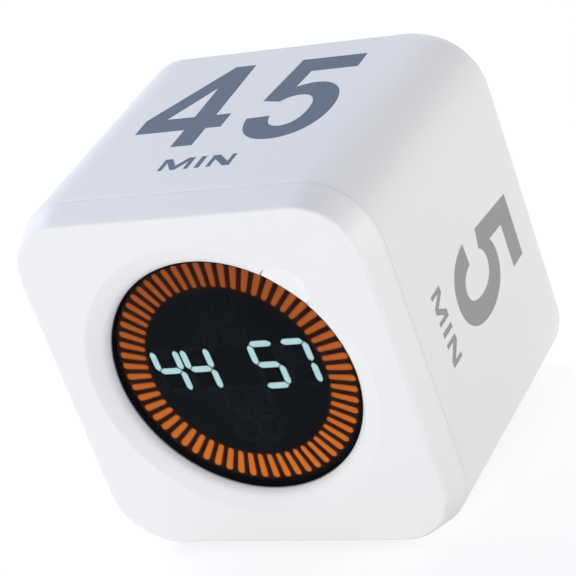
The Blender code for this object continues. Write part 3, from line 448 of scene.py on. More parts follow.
# %% [markdown]
# ## The sleeve
#
# The body of the case is a rounded square tube, open in front where the bezel
# closes it and stepped behind to take the cover.  Its skin is one stack of
# rings: along the outside to the back, round the soft rear edge, into the
# rebate, and back along the inside.  The screw bosses, the board's posts and
# the two ribs beside the cell are shells of their own that sink into it.

# %% Sleeve rings
def square_ring(half, corner, depth):
    return ring_at(ANGLES, square_ray(ANGLES, half, corner), depth)


def rounded_turn(start, end, corner, steps=7):
    """Points of a quarter ellipse from start to end (inset, depth) about
    corner: corner + cos t (start - corner) + sin t (end - corner)."""
    start, end, corner = (np.asarray(p, float) for p in (start, end, corner))
    t = np.linspace(0, math.pi / 2, steps)[:, None]
    return corner + np.cos(t) * (start - corner) + np.sin(t) * (end - corner)


def sleeve_shell():
    """Rings of (inset from the side, depth), edge value along the edges."""
    lip, rear = 0.05 * MM, 1.0 * MM
    begin = BAND_DEPTH + PART_LINE
    path = [(lip + SKIN_INSET, begin, 1.0)]
    path += [(i, d, 1.0) for i, d in rounded_turn((lip, begin), (0, begin + lip), (lip, begin + lip), 5)[1:] + [SKIN_INSET, 0]]
    path += [(SKIN_INSET, d, e) for d, e in ((5.6 * MM, 0.3), (9 * MM, 0.0), (25 * MM, 0.0), (45 * MM, 0.0), (47 * MM, 0.2))]
    turn = rounded_turn((0, CASE_DEPTH - rear), (rear, CASE_DEPTH), (rear, CASE_DEPTH - rear), 9)
    path += [(i + SKIN_INSET, d, 1.0) for i, d in turn]
    path += [(REBATE - 0.08 * MM, CASE_DEPTH, 0.6), (REBATE, CASE_DEPTH - 0.08 * MM, 0.4)]
    path += [(REBATE, LEDGE, 0.0), (WALL, LEDGE, 0.0), (WALL, 30 * MM, 0.0), (WALL, begin, 0.0)]
    path = np.array(path)
    rings = [square_ring(HALF - i, CASE_CORNER - i, d) for i, d, _ in path]
    edge = np.repeat(path[:, 2], len(ANGLES))
    return shell(rings, joined=True), edge


def spun(profile, centre, axis="y", count=48):
    """Turn (radius, place along the axis) about a line; the first and last
    point close the ends.  The turn is (r cos, r sin) in the other two axes."""
    t = np.linspace(0, 2 * math.pi, count, endpoint=False)
    rings = []
    for radius, along in profile:
        u, w = radius * np.cos(t), radius * np.sin(t)
        x0, y0, z0 = centre
        if axis == "y":
            rings.append(np.stack([x0 + u, np.full(count, along), z0 + w], -1))
        else:
            rings.append(np.stack([x0 + u, y0 + w, np.full(count, along)], -1))
    return rings


def block(low, high, edge=0.15 * MM):
    """A box with chamfered edges, as four rings of an eight-sided outline."""
    (x0, y0, z0), (x1, y1, z1) = low, high
    rings = []
    for z, inset in ((z0, edge), (z0 + edge, 0), (z1 - edge, 0), (z1, edge)):
        a, b, c, d = x0 + inset, x1 - inset, y0 + inset, y1 - inset
        e = edge * 0.7
        xy = [(a + e, c), (b - e, c), (b, c + e), (b, d - e), (b - e, d), (a + e, d), (a, d - e), (a, c + e)]
        rings.append([(x, y, z) for x, y in xy])
    return shell(rings)


print("sleeve shell points:", len(sleeve_shell()[0][0]))

# %% Sleeve, bosses and ribs
CORNERS = [(1, 1), (-1, 1), (-1, -1), (1, -1)]
REAR_BOSS_AT, REAR_BOSS_R = 23.6 * MM, 3.0 * MM
BOARD_TOP, BOARD_POST_TOP = 9.05 * MM, 7.7 * MM
POSTS = [(x * 16.5 * MM, FRONT + y * MM) for x in (-1, 1) for y in (19.2, 39.5)]


def boss(radius, bore, start, end, floor, centre, axis="y"):
    """A round post with a blind bore from its end."""
    profile = [(radius, start), (radius, end - 0.1 * MM), (radius - 0.1 * MM, end), (bore, end), (bore, floor)]
    return shell(spun(profile, centre, axis, 40))


sleeve_parts, sleeve_edge = sleeve_shell()
shells = [sleeve_parts]
for across, up in CORNERS:
    centre = (across * REAR_BOSS_AT, 0, HALF + up * REAR_BOSS_AT)
    shells.append(boss(REAR_BOSS_R, 1.2 * MM, FRONT + 36.7 * MM, FRONT + 46.7 * MM, FRONT + 37.4 * MM, centre))
for x, y in POSTS:
    shells.append(boss(2.3 * MM, 1.2 * MM, 1.8 * MM, BOARD_POST_TOP, 2.9 * MM, (x, y, 0), "z"))
for side in (-1, 1):
    ends = sorted((side * 15.3 * MM, side * 16.5 * MM))
    shells.append(block((ends[0], FRONT + 10 * MM, 54.6 * MM), (ends[1], FRONT + 44 * MM, 58.2 * MM)))
extra = sum(len(points) for points, _ in shells[1:])
sleeve = piece("sleeve_skin", shells, "case", case_white, 32, {"edge": np.concatenate([sleeve_edge, np.zeros(extra)])})
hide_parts("housing_sleeve")

# %% [markdown]
# ## The bezel
#
# The front cap tapers inwards, turns over a small edge to the flat face, and
# sinks into a shallow dish round the window.  The dish starts softly and ends
# steeply, so its depth over the distance from the outer circle is a
# hyperbola.  At the upper right the button's pocket cuts the dish: there the
# window's edge simply lies further out, and the rings between that edge and a
# circle outside the dish take up the difference.  The last millimetre rolls
# over into the wall, and near the pocket that roll grows tighter by the
# smooth step 3 a^2 - 2 a^3.

# %% Dish and bezel rings
def dish_depth(radius):
    """Depth of the face at a radius: s = (outer - radius) / width is softened
    at its start by q = (sqrt(s^2 + a^2) - a) / (sqrt(1 + a^2) - a), a = 0.08,
    and depth = D (0.68 q + 0.32 q^8): a cone that steepens at the window."""
    s = np.clip((DISH_OUT - radius) / (DISH_OUT - OPENING), 0.0, 1.0)
    a = 0.08
    q = (np.sqrt(s * s + a * a) - a) / (math.sqrt(1 + a * a) - a)
    return DISH_DEEP * (0.68 * q + 0.32 * q ** 8)


def bezel_shell():
    half_front = HALF - BAND_TAPER
    slope = BAND_TAPER / BAND_DEPTH
    rings, edge = [], []

    def add(distance, depth, value=0.0):
        rings.append(ring_at(ANGLES, distance, depth))
        edge.append(np.full(len(ANGLES), value))

    def add_square(half, corner, depth, value=0.0):
        add(square_ray(ANGLES, half, corner), depth, value)

    lip = 0.05 * MM
    outer = HALF - SKIN_INSET
    for i, d in rounded_turn((lip, BAND_DEPTH), (0, BAND_DEPTH - lip), (lip, BAND_DEPTH - lip), 5):
        add_square(outer - i, CASE_CORNER - i, d, 1.0)
    for share in (0.8, 0.6, 0.4, 0.25):
        depth = BAND_DEPTH * share
        corner = FACE_CORNER + (CASE_CORNER - FACE_CORNER) * share
        add_square(half_front + slope * depth - SKIN_INSET, corner, depth, 0.2 if share < 0.3 else 0.0)
    start = (slope * FACE_EDGE, FACE_EDGE)
    for i, d in rounded_turn(start, (start[0] - FACE_EDGE, 0), (start[0] - FACE_EDGE, FACE_EDGE), 9):
        add_square(half_front + i - SKIN_INSET, FACE_CORNER + i, d, 1.0)
    add_square(half_front - 1.6 * MM, FACE_CORNER - 1.6 * MM, 0.0, 0.2)
    mouth = pocket_ray(ANGLES, OPENING, POCKET_R)
    turn = np.abs((ANGLES - BUTTON_ANGLE + math.pi) % (2 * math.pi) - math.pi)
    away = np.clip((turn - math.asin(POCKET_R / BUTTON_AT)) / 0.12, 0.0, 1.0)
    round_edge = POCKET_EDGE + (RIM_EDGE - POCKET_EDGE) * away * away * (3 - 2 * away)
    ring_out = 25.9 * MM
    step = 0.02 * MM
    tilt = np.arctan((dish_depth(mouth) - dish_depth(mouth + step)) / step)
    roll_out = round_edge * (1 - np.sin(tilt))
    shares = 1 - np.linspace(0, 1, 40) ** 1.1
    for share in shares:
        radius = mouth + roll_out + (ring_out - mouth - roll_out) * share
        add(radius, dish_depth(radius))
    depth_there = dish_depth(mouth + roll_out)
    for turn in (0.2, 0.4, 0.6, 0.8, 1.0):
        angle = tilt + (math.pi / 2 - tilt) * turn
        add(mouth + round_edge * (1 - np.sin(angle)), depth_there + round_edge * (np.cos(tilt) - np.cos(angle)), 0.5)
    add(mouth, PLATE_REAR, 0.2)
    add(np.maximum(mouth + 0.2 * MM, 24.8 * MM), PLATE_REAR)
    tongue_end = BAND_DEPTH + 2.4 * MM
    for half, corner, depth in (
        (25.9, 6.1, PLATE_REAR), (25.9, 6.1, tongue_end), (27.5, 7.7, tongue_end), (27.5, 7.7, BAND_DEPTH),
    ):
        add_square(half * MM, corner * MM, depth)
    return shell(rings, joined=True), np.concatenate(edge)


bezel_parts, bezel_edge = bezel_shell()
print("bezel points:", len(bezel_parts[0]))

# %% Bezel with its lens lip and bosses
def open_ring(inner, outer, start, end, near, far, count=140):
    """A ring wall that leaves a gap: a four-cornered section carried along
    the arc from angle near to angle far."""
    t = np.linspace(near, far, count)
    rings = [
        np.stack([r * np.cos(t), np.full(count, FRONT + d), HALF + r * np.sin(t)], -1)
        for r, d in ((outer, start), (outer, end), (inner, end), (inner, start))
    ]
    return shell(np.stack(rings, 1))


gap = math.radians(13.5)
shells = [bezel_parts]
shells.append(open_ring(LIP_R, LIP_R + MM, PLATE_REAR - 0.1 * MM, MASK_REAR, BUTTON_ANGLE + gap, BUTTON_ANGLE + 2 * math.pi - gap))
for across, up in CORNERS:
    centre = (across * 21.5 * MM, 0, HALF + up * 21.5 * MM)
    shells.append(boss(2.3 * MM, 1.2 * MM, FRONT + 2.1 * MM, FRONT + 5.55 * MM, FRONT + 2.6 * MM, centre))
extra = sum(len(points) for points, _ in shells[1:])
bezel = piece("bezel_skin", shells, "case", bezel_white, 32, {"edge": np.concatenate([bezel_edge, np.zeros(extra)])})
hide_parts("front_bezel")

# %% [markdown]
# ## The push button
#
# The key is a half moon: a disc that the window's circle cuts off.  Its face
# is a plane that starts a little under the bezel's face and slopes down with
# the dish, so the window's edge runs on past it as a whole circle.  The
# outline has an arc round the button's own middle and an arc round the
# display's, and each level of the key repeats it with other radii, down to
# the flange that keeps it from falling out.

# %% Half-moon outlines
BUTTON_WAY = (math.cos(BUTTON_ANGLE), math.sin(BUTTON_ANGLE))


def half_moon(radius, inner, outer_steps=90, inner_steps=34):
    """Closed outline: the arc of a circle about the button's middle between
    its two crossings with the circle of radius inner about the display, then
    back along that circle.  The crossings follow from the law of cosines."""
    b = BUTTON_AT
    wide = math.pi - math.acos((b * b + radius * radius - inner * inner) / (2 * b * radius))
    narrow = math.acos((b * b + inner * inner - radius * radius) / (2 * b * inner))
    t = BUTTON_ANGLE + np.linspace(-wide, wide, outer_steps)
    u = BUTTON_ANGLE + np.linspace(narrow, -narrow, inner_steps)[1:-1]
    x = np.concatenate([b * BUTTON_WAY[0] + radius * np.cos(t), inner * np.cos(u)])
    z = np.concatenate([b * BUTTON_WAY[1] + radius * np.sin(t), inner * np.sin(u)])
    return x, z


def moon_ring(radius, inner, depth, shrink=1.0):
    """A level of the key; depth is a length or a function of x and z."""
    x, z = half_moon(radius, inner)
    cx, cz = x.mean(), z.mean()
    x, z = cx + (x - cx) * shrink, cz + (z - cz) * shrink
    y = depth(x, z) if callable(depth) else np.full(len(x), depth)
    return np.stack([x, FRONT + y, HALF + z], -1)


KEY_HIGH, KEY_LOW = 0.25 * MM, 1.7 * MM


def key_plane(extra):
    """The slanted face, from KEY_HIGH at the outer point to KEY_LOW at the
    inner edge: high + (low - high) (reach - out) / span, where out is how
    far a point lies from the display's middle towards the button."""
    reach = BUTTON_AT + BUTTON_R
    slope = (KEY_LOW - KEY_HIGH) / (reach - BUTTON_IN)
    return lambda x, z: KEY_HIGH + slope * (reach - x * BUTTON_WAY[0] - z * BUTTON_WAY[1]) + extra


soft = 0.2 * MM
rings = [moon_ring(BUTTON_R - soft, BUTTON_IN + soft, key_plane(0.0), s) for s in (0.25, 0.6, 0.9)]
key_edge = [0.0, 0.0, 0.2]
for turn in np.linspace(0, 1, 7):
    a = turn * math.pi / 2
    i = soft * (1 - math.sin(a))
    rings.append(moon_ring(BUTTON_R - i, BUTTON_IN + i, key_plane(soft * (1 - math.cos(a)))))
    key_edge.append(1.0)
flange = BUTTON_R + 0.8 * MM
for radius, inner, depth in (
    (BUTTON_R, BUTTON_IN, 2.5), (BUTTON_R, LIP_R, 2.5), (BUTTON_R, LIP_R, 2.65), (flange, LIP_R, 2.65), (flange, LIP_R, 3.25),
):
    rings.append(moon_ring(radius, inner, depth * MM))
    key_edge.append(0.0)
key_shell = shell(rings)
nub_x, nub_z = ((BUTTON_AT + 3.0 * MM) * way for way in BUTTON_WAY)
nub = shell(spun([(0.9 * MM, FRONT + 2.85 * MM), (0.9 * MM, FRONT + 3.3 * MM)], (nub_x, 0, HALF + nub_z), "y", 32))
edge_values = np.concatenate([np.repeat(key_edge, len(rings[0])), [0, 0], np.zeros(len(nub[0]))])
key = piece("push_button_key", [key_shell, nub], "button", key_white, 32, {"edge": edge_values})
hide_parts("push_button")

# %% [markdown]
# ## Flat plates with holes
#
# The black mask behind the glass, the cover with its sound holes, and the
# printed figures are all the same kind of thing: a flat outline with holes
# and a thickness.  A filled 2D curve is the natural tool, because it knows
# which loops are holes and can round every edge by a bevel.  It is turned
# into a mesh at once, its doubles are merged, and only then it is laid in its
# place.

# %% Filled outlines to a closed shell
def plate_shell(outlines, thickness, place, bevel=0.0):
    """Points (u, w, h) of a filled outline with h from 0 to thickness, moved
    by place(u, w, h) into the row frame, as a closed shell."""
    curve = bpy.data.curves.new("outline", "CURVE")
    curve.dimensions = "2D"
    curve.fill_mode = "BOTH"
    curve.extrude = thickness / 2 - bevel
    curve.bevel_depth = bevel
    curve.offset = -bevel
    curve.bevel_resolution = 2
    for outline in outlines:
        outline = np.asarray(outline, float)
        spline = curve.splines.new("POLY")
        spline.points.add(len(outline) - 1)
        four = np.zeros((len(outline), 4))
        four[:, :2] = outline
        four[:, 3] = 1.0
        spline.points.foreach_set("co", four.ravel())
        spline.use_cyclic_u = True
    holder = bpy.data.objects.new("outline", curve)
    bpy.context.scene.collection.objects.link(holder)
    bpy.context.view_layer.update()
    mesh = bpy.data.meshes.new_from_object(holder.evaluated_get(bpy.context.evaluated_depsgraph_get()))
    bpy.data.objects.remove(holder)
    flat = np.zeros(len(mesh.vertices) * 3)
    mesh.vertices.foreach_get("co", flat)
    u, w, h = flat.reshape(-1, 3).T
    laid = place(u, w, h + thickness / 2)
    mesh.vertices.foreach_set("co", laid.ravel())
    work = bmesh.new()
    work.from_mesh(mesh)
    bmesh.ops.remove_doubles(work, verts=work.verts, dist=2e-7)
    bmesh.ops.recalc_face_normals(work, faces=work.faces)
    work.to_mesh(mesh)
    work.free()
    flat = np.zeros(len(mesh.vertices) * 3)
    mesh.vertices.foreach_get("co", flat)
    by_size = {}
    for face in mesh.polygons:
        by_size.setdefault(len(face.vertices), []).append(tuple(face.vertices))
    parts = [np.array(rows) for rows in by_size.values()]
    bpy.data.meshes.remove(mesh)
    return flat.reshape(-1, 3), parts


def behind_face(depth):
    """Place for a plate behind the display face, h running to the front."""
    return lambda u, w, h: np.stack([u, FRONT + depth - h, HALF + w], -1)


def circle(radius, count=48, across=0.0, up=0.0):
    t = np.linspace(0, 2 * math.pi, count, endpoint=False)
    return np.stack([across + radius * np.cos(t), up + radius * np.sin(t)], -1)


print("ring of a test plate:", len(plate_shell([circle(MM * 3), circle(MM)], MM, behind_face(0))[0]), "points")

# %% [markdown]
# ## Light bars and figures
#
# Behind the smoked glass a black mask has a window for each of sixty bars and
# for the strokes of eight figures, which stand in a cross so that four of them
# are upright whichever way the cube lies.  Milky fingers of the diffusers
# fill the windows.  A bar widens outwards and has round ends; a stroke is a
# long hexagon.  Each is one small shell, made once and then turned or moved
# into place, with a number that is 1 along its middle and 0 at its rim, so
# that the light can fall off towards the rim as in a real light guide.

# %% Outlines of a bar and a stroke
BARS = 60
BAR_IN, BAR_OUT = 14.85 * MM, 19.2 * MM
GRAPHIC_ACROSS, GRAPHIC_UP = -0.35 * MM, 0.0 * MM


def bar_outline(grow, steps=9):
    """Round-ended bar along +u: half circles of radius w/2 + grow about the
    ends of its middle line, wider at the outer end."""
    near, far = BAR_IN * 0.0297 + grow, BAR_OUT * 0.0297 + grow
    start, end = BAR_IN * 1.0297, BAR_OUT * 0.9703
    t = np.linspace(math.pi / 2, 3 * math.pi / 2, steps)
    inner = np.stack([start + near * np.cos(t), near * np.sin(t)], -1)
    outer = np.stack([end + far * np.cos(t + math.pi), far * np.sin(t + math.pi)], -1)
    return np.concatenate([inner, outer])


def turned_copies(points, angles):
    """Copies of flat points turned by each angle: (x c - y s, x s + y c)."""
    c, s = np.cos(angles)[:, None], np.sin(angles)[:, None]
    x, y = points[:, 0][None], points[:, 1][None]
    return np.stack([x * c - y * s, x * s + y * c], -1)


DIGIT_W, DIGIT_H = 3.95 * MM, 7.35 * MM
DIGIT_PLACES = (-11.1 * MM, -5.8 * MM, 5.8 * MM, 11.1 * MM)
RISE = 0.9 * MM
LEAN = -0.06
CLIMB = 0.02
STROKES = {
    "top": (0.0, 0.5, True), "middle": (0.0, 0.0, True), "bottom": (0.0, -0.5, True),
    "upper left": (-0.5, 0.25, False), "upper right": (0.5, 0.25, False),
    "lower left": (-0.5, -0.25, False), "lower right": (0.5, -0.25, False),
}
SHOWN = {
    "4": ("upper left", "upper right", "middle", "lower right"),
    "5": ("top", "upper left", "middle", "lower right", "bottom"),
    "7": ("top", "upper right", "lower right"),
}


def stroke_outline(name, grow):
    """Hexagon of a stroke in its figure: reach length / 2, shoulders one half
    thickness before the tips."""
    across, up, flat = STROKES[name]
    half = 0.53 * MM + grow
    reach = ((DIGIT_W if flat else DIGIT_H / 2) - 0.22 * MM) / 2 + grow
    k = reach - half
    points = np.array([(-reach, 0), (-k, half), (k, half), (reach, 0), (k, -half), (-k, -half)])
    if not flat:
        points = np.stack([-points[:, 1], points[:, 0]], -1)
    return points + np.array([across * DIGIT_W, up * DIGIT_H])


def in_row(points, centre):
    """A figure's points in the row: leaning, so u gains LEAN times w, and on
    a row that climbs a little to the right, as it seems to in the picture."""
    across = centre + points[:, 0] + points[:, 1] * LEAN
    return np.stack([across, points[:, 1] + RISE + across * CLIMB], -1)


def in_column(points, centre):
    """A figure's points in the column, a quarter turn round."""
    return np.stack([0.1 * MM - points[:, 1], centre + points[:, 0] + RISE], -1)


def guide_shell(outline_of, laid, top, foot):
    """Shell of a light guide: its outline at the foot, up to the top, round a
    small edge and in over the face; value 0 at the rim and 1 in the middle."""
    levels = [(0.0, foot, 0.0), (0.0, top + 0.06 * MM, 0.0), (-0.06 * MM, top, 0.15), (-0.2 * MM, top, 0.7), (-0.36 * MM, top, 1.0)]
    rings, values = [], []
    for grow, depth, value in levels:
        flat = laid(outline_of(grow))
        rings.append(np.stack([flat[:, 0] + GRAPHIC_ACROSS, np.full(len(flat), FRONT + depth), HALF + flat[:, 1] + GRAPHIC_UP], -1))
        values.append(np.full(len(flat), value))
    return shell(rings), np.concatenate(values + [[0.0, 1.0]])


print("bar outline points:", len(bar_outline(0)), "strokes in a figure:", len(STROKES))


# %% Lit materials
def lit(name, low_colour, high_colour, rim, base, axis_low, axis_high):
    """A glowing light guide: the colour drifts from the foot to the head of
    the display, and falls off to the share rim at each guide's rim."""
    look, tree, shader, where = new_look(name)
    split = tree.nodes.new("ShaderNodeSeparateXYZ")
    tree.links.new(where, split.inputs[0])
    span = 1.0 / (axis_high - axis_low)
    height = math_node(tree, "MULTIPLY_ADD", split.outputs["Z"], span, -axis_low * span, clamp=True)
    ramp = mix_colour(tree, height, low_colour, high_colour)
    middle = tree.nodes.new("ShaderNodeAttribute")
    middle.attribute_name = "middle"
    mottled = noise(tree, where, 900.0, 2.0)
    falloff = math_node(tree, "MULTIPLY_ADD", middle.outputs["Fac"], 1.02 - rim, rim)
    level = math_node(tree, "MULTIPLY_ADD", math_node(tree, "SUBTRACT", mottled, 0.5), 0.16, falloff)
    glow = tree.nodes.new("ShaderNodeVectorMath")
    glow.operation = "SCALE"
    tree.links.new(ramp, glow.inputs[0])
    tree.links.new(level, glow.inputs["Scale"])
    tree.links.new(glow.outputs[0], shader.inputs["Emission Color"])
    shader.inputs["Emission Strength"].default_value = 1.0 / LENS_PASS
    milky = mix_colour(tree, mottled, base, tuple(0.8 * c for c in base))
    tree.links.new(milky, shader.inputs["Base Color"])
    tree.links.new(math_node(tree, "MULTIPLY_ADD", mottled, 0.2, 0.4), shader.inputs["Roughness"])
    shader.inputs["Specular IOR Level"].default_value = 0.0
    return look


LENS_PASS = 0.62
amber = lit("amber_light", (0.62, 0.157, 0.018), (0.295, 0.066, 0.015), 0.74, (0.03, 0.012, 0.006), 0.012, 0.048)
cyan = lit("figure_light", (0.420, 0.632, 0.652), (0.426, 0.640, 0.660), 0.92, (0.05, 0.06, 0.06), 0.02, 0.04)
# Painted glow: the unlit strokes are no lamps, yet this gives them a faint blue glow, stronger towards the foot, so
# that they show through the smoked glass.
dim = lit("figure_unlit_painted_glow", (0.0050, 0.0062, 0.0100), (0.0018, 0.0023, 0.0035), 0.8, (0.004, 0.004, 0.005), 0.015, 0.045)
print("lit materials:", amber.name, cyan.name, dim.name)

# %% Ring of bars
template, values = guide_shell(bar_outline, lambda p: p, LAMP_FACE, DIFFUSER_FACE + 0.1 * MM)
points, parts = template
flat = turned_copies(points[:, [0, 2]] - [GRAPHIC_ACROSS, HALF + GRAPHIC_UP], np.arange(BARS) * 2 * math.pi / BARS)
deep = np.broadcast_to(points[:, 1], flat.shape[:2])
bar_points = np.stack([flat[..., 0] + GRAPHIC_ACROSS, deep, HALF + flat[..., 1] + GRAPHIC_UP], -1).reshape(-1, 3)
offset = (np.arange(BARS) * len(points))[:, None, None]
bar_parts = [(part[None] + offset).reshape(-1, part.shape[1]) for part in parts]
ring_path = [(20.1 * MM, DIFFUSER_FACE), (20.1 * MM, DIFFUSER_REAR), (14.68 * MM, DIFFUSER_REAR), (14.68 * MM, DIFFUSER_FACE)]
ring_shell = shell(spun([(r, FRONT + d) for r, d in ring_path], (0, 0, HALF), "y", 160), joined=True)
middle = np.concatenate([np.tile(values, BARS), np.full(len(ring_shell[0]), 0.2)])
bars = piece("light_bars", [(bar_points, bar_parts), ring_shell], "case", amber, 32, {"middle": middle})
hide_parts("ring_diffuser")

# %% Figures, lit and unlit
shells_lit, shells_dim, values_lit, values_dim, windows = [], [], [], [], []
for centre, figure in zip(DIGIT_PLACES, "4457"):
    for name in STROKES:
        made, numbers = guide_shell(lambda g: stroke_outline(name, g), lambda p: in_row(p, centre), LAMP_FACE, DIFFUSER_FACE + 0.1 * MM)
        on = name in SHOWN[figure]
        (shells_lit if on else shells_dim).append(made)
        (values_lit if on else values_dim).append(numbers)
        windows.append(in_row(stroke_outline(name, 0.03 * MM), centre))
        made, numbers = guide_shell(lambda g: stroke_outline(name, g), lambda p: in_column(p, centre), LAMP_FACE, DIFFUSER_FACE + 0.1 * MM)
        shells_dim.append(made)
        values_dim.append(numbers)
        windows.append(in_column(stroke_outline(name, 0.03 * MM), centre))
disc = shell(spun([(14.53 * MM, FRONT + DIFFUSER_FACE), (14.53 * MM, FRONT + DIFFUSER_REAR)], (0, 0, HALF), "y", 120))
figures = piece("lit_strokes", shells_lit, "case", cyan, 32, {"middle": np.concatenate(values_lit)})
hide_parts("digit_diffuser")
# The unlit strokes and the disc under them carry that painted faint blue glow.
unlit = piece("unlit_strokes", shells_dim + [disc], "case", dim, 32, {"middle": np.concatenate(values_dim + [np.zeros(len(disc[0]))])})
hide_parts("digit_diffuser")

# %% [markdown]
# ## Mask and window
#
# The mask is matt black, with a painted glow: it gives off a faint blue all
# over, and a dark brown over the ring of bars that stands for their light
# seeping through it.  The glass over it is
# smoked: it swallows a third of the light and hides what isn't lit.  Its edge
# is blackened, so that no light of the bars runs out sideways to the bezel.

# %% Mask material
def mask_material():
    look, tree, shader, where = new_look("mask_black_film")
    surface = group_node(tree, MOULDED, where)
    surface.inputs["Colour"].default_value = (0.003, 0.003, 0.004, 1.0)
    surface.inputs["Drift"].default_value = 0.5
    surface.inputs["Roughness"].default_value = 0.6
    surface.inputs["Specks"].default_value = 0.0
    shader.inputs["Specular IOR Level"].default_value = 0.0
    tree.links.new(surface.outputs["Colour"], shader.inputs["Base Color"])
    tree.links.new(surface.outputs["Roughness"], shader.inputs["Roughness"])
    split = tree.nodes.new("ShaderNodeSeparateXYZ")
    tree.links.new(where, split.inputs[0])
    x = math_node(tree, "SUBTRACT", split.outputs["X"], GRAPHIC_ACROSS)
    z = math_node(tree, "SUBTRACT", split.outputs["Z"], HALF + GRAPHIC_UP)
    radius = math_node(tree, "SQRT", math_node(tree, "ADD", math_node(tree, "MULTIPLY", x, x), math_node(tree, "MULTIPLY", z, z)))
    # Painted glow: the ring of the bars, 14.4 to 19.6 mm out, glows dark brown, and the rest of the mask a faint blue,
    # though the mask is no lamp.
    rise = math_node(tree, "MULTIPLY_ADD", radius, 1 / (0.5 * MM), -14.4 * 2, clamp=True)
    fall = math_node(tree, "MULTIPLY_ADD", radius, -1 / (0.5 * MM), 19.6 * 2, clamp=True)
    painted_glow_band = math_node(tree, "MULTIPLY", rise, fall)
    cloud = noise(tree, where, 700.0, 3.0)
    painted_leak_glow = math_node(tree, "MULTIPLY", painted_glow_band, math_node(tree, "MULTIPLY_ADD", cloud, 0.6, 0.7))
    colour = mix_colour(tree, painted_leak_glow, (0.0004, 0.0012, 0.0024), (0.021, 0.0040, 0.0010))
    tree.links.new(colour, shader.inputs["Emission Color"])
    shader.inputs["Emission Strength"].default_value = 1.0 / LENS_PASS
    bump(tree, shader, surface.outputs["Height"], 0.15, 0.002 * MM)
    return look


mask_film = mask_material()
loops = [circle(MASK_R, 200)]
shift = np.array([GRAPHIC_ACROSS, GRAPHIC_UP])
loops += [loop + shift for loop in turned_copies(bar_outline(0.03 * MM), np.arange(BARS) * 2 * math.pi / BARS)]
loops += [loop + shift for loop in windows]
mask = piece("mask_film", [plate_shell(loops, MASK_REAR - MASK_FACE, behind_face(MASK_REAR))], "case", mask_film)
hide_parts("window_mask")

# %% Smoked window
def glass_material():
    look, tree, shader, where = new_look("smoked_glass")
    cloud = noise(tree, where, 120.0, 3.0)
    tint = mix_colour(tree, cloud, (0.60, 0.60, 0.62), (0.64, 0.64, 0.66))
    tree.links.new(tint, shader.inputs["Base Color"])
    smear = noise(tree, where, 260.0, 4.0, 0.6)
    tree.links.new(math_node(tree, "MULTIPLY_ADD", smear, 0.03, 0.005, clamp=True), shader.inputs["Roughness"])
    shader.inputs["Transmission Weight"].default_value = 1.0
    shader.inputs["IOR"].default_value = 1.1
    return look


smoked = glass_material()
lip, GLASS_R = 0.03 * MM, LENS_R - 0.05 * MM
window_path = [(19.0 * MM, LENS_FACE), (GLASS_R - lip, LENS_FACE), (GLASS_R, LENS_FACE + lip)]
window_path += [(GLASS_R, LENS_FACE + LENS_THICK - lip), (GLASS_R - lip, LENS_FACE + LENS_THICK), (19.0 * MM, LENS_FACE + LENS_THICK)]
window = piece("smoked_window", [shell(spun([(r, FRONT + d) for r, d in window_path], (0, 0, HALF), "y", 240))], "case", smoked)
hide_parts("display_lens")

# %% Blackened edge of the window
EDGE_INK = 0.05 * MM
edge_black = moulded("edge_ink", (0.004, 0.004, 0.005), 0.7, 0.3, 0.0, 0.002, 0.0)
ink_in, ink_face = LENS_R - 0.12 * MM, LENS_FACE - 0.01 * MM
ink_path = [(ink_in, ink_face), (LENS_R, ink_face), (LENS_R + EDGE_INK, ink_face + EDGE_INK)]
ink_path += [(LENS_R + EDGE_INK, MASK_FACE - 0.02 * MM), (ink_in, MASK_FACE - 0.02 * MM)]
ink_ring = shell(spun([(r, FRONT + d) for r, d in ink_path], (0, 0, HALF), "y", 240), joined=True)
window_edge = piece("window_edge_ink", [ink_ring], "case", edge_black)

# %% [markdown]
# ## Printed minutes
#
# Each side of the cube carries a number of minutes, because the timer runs
# for the number that points up.  The figures are bold and upright.  Their
# outlines are straight lines and cubic curves,
# b(t) = (1-t)^3 p + 3 (1-t)^2 t c + 3 (1-t) t^2 d + t^3 q,
# written down in millimetres on the print itself, and the ink is a filled
# outline a hundredth of a millimetre thick.  The sides that the camera
# doesn't see carry 15 and 25.

# %% Figures and letters as outlines
def path(*steps):
    """Points of an outline; two numbers are a corner, and six are a cubic
    curve from the last point: two handles and its end."""
    points = [np.array([steps[0]], float)]
    for step in steps[1:]:
        if len(step) == 2:
            points.append(np.array([step], float))
            continue
        p = points[-1][-1]
        c, d, q = np.array(step, float).reshape(3, 2)
        t = np.linspace(0, 1, 17)[1:, None]
        points.append((1 - t) ** 3 * p + 3 * (1 - t) ** 2 * t * c + 3 * (1 - t) * t ** 2 * d + t ** 3 * q)
    return np.concatenate(points)


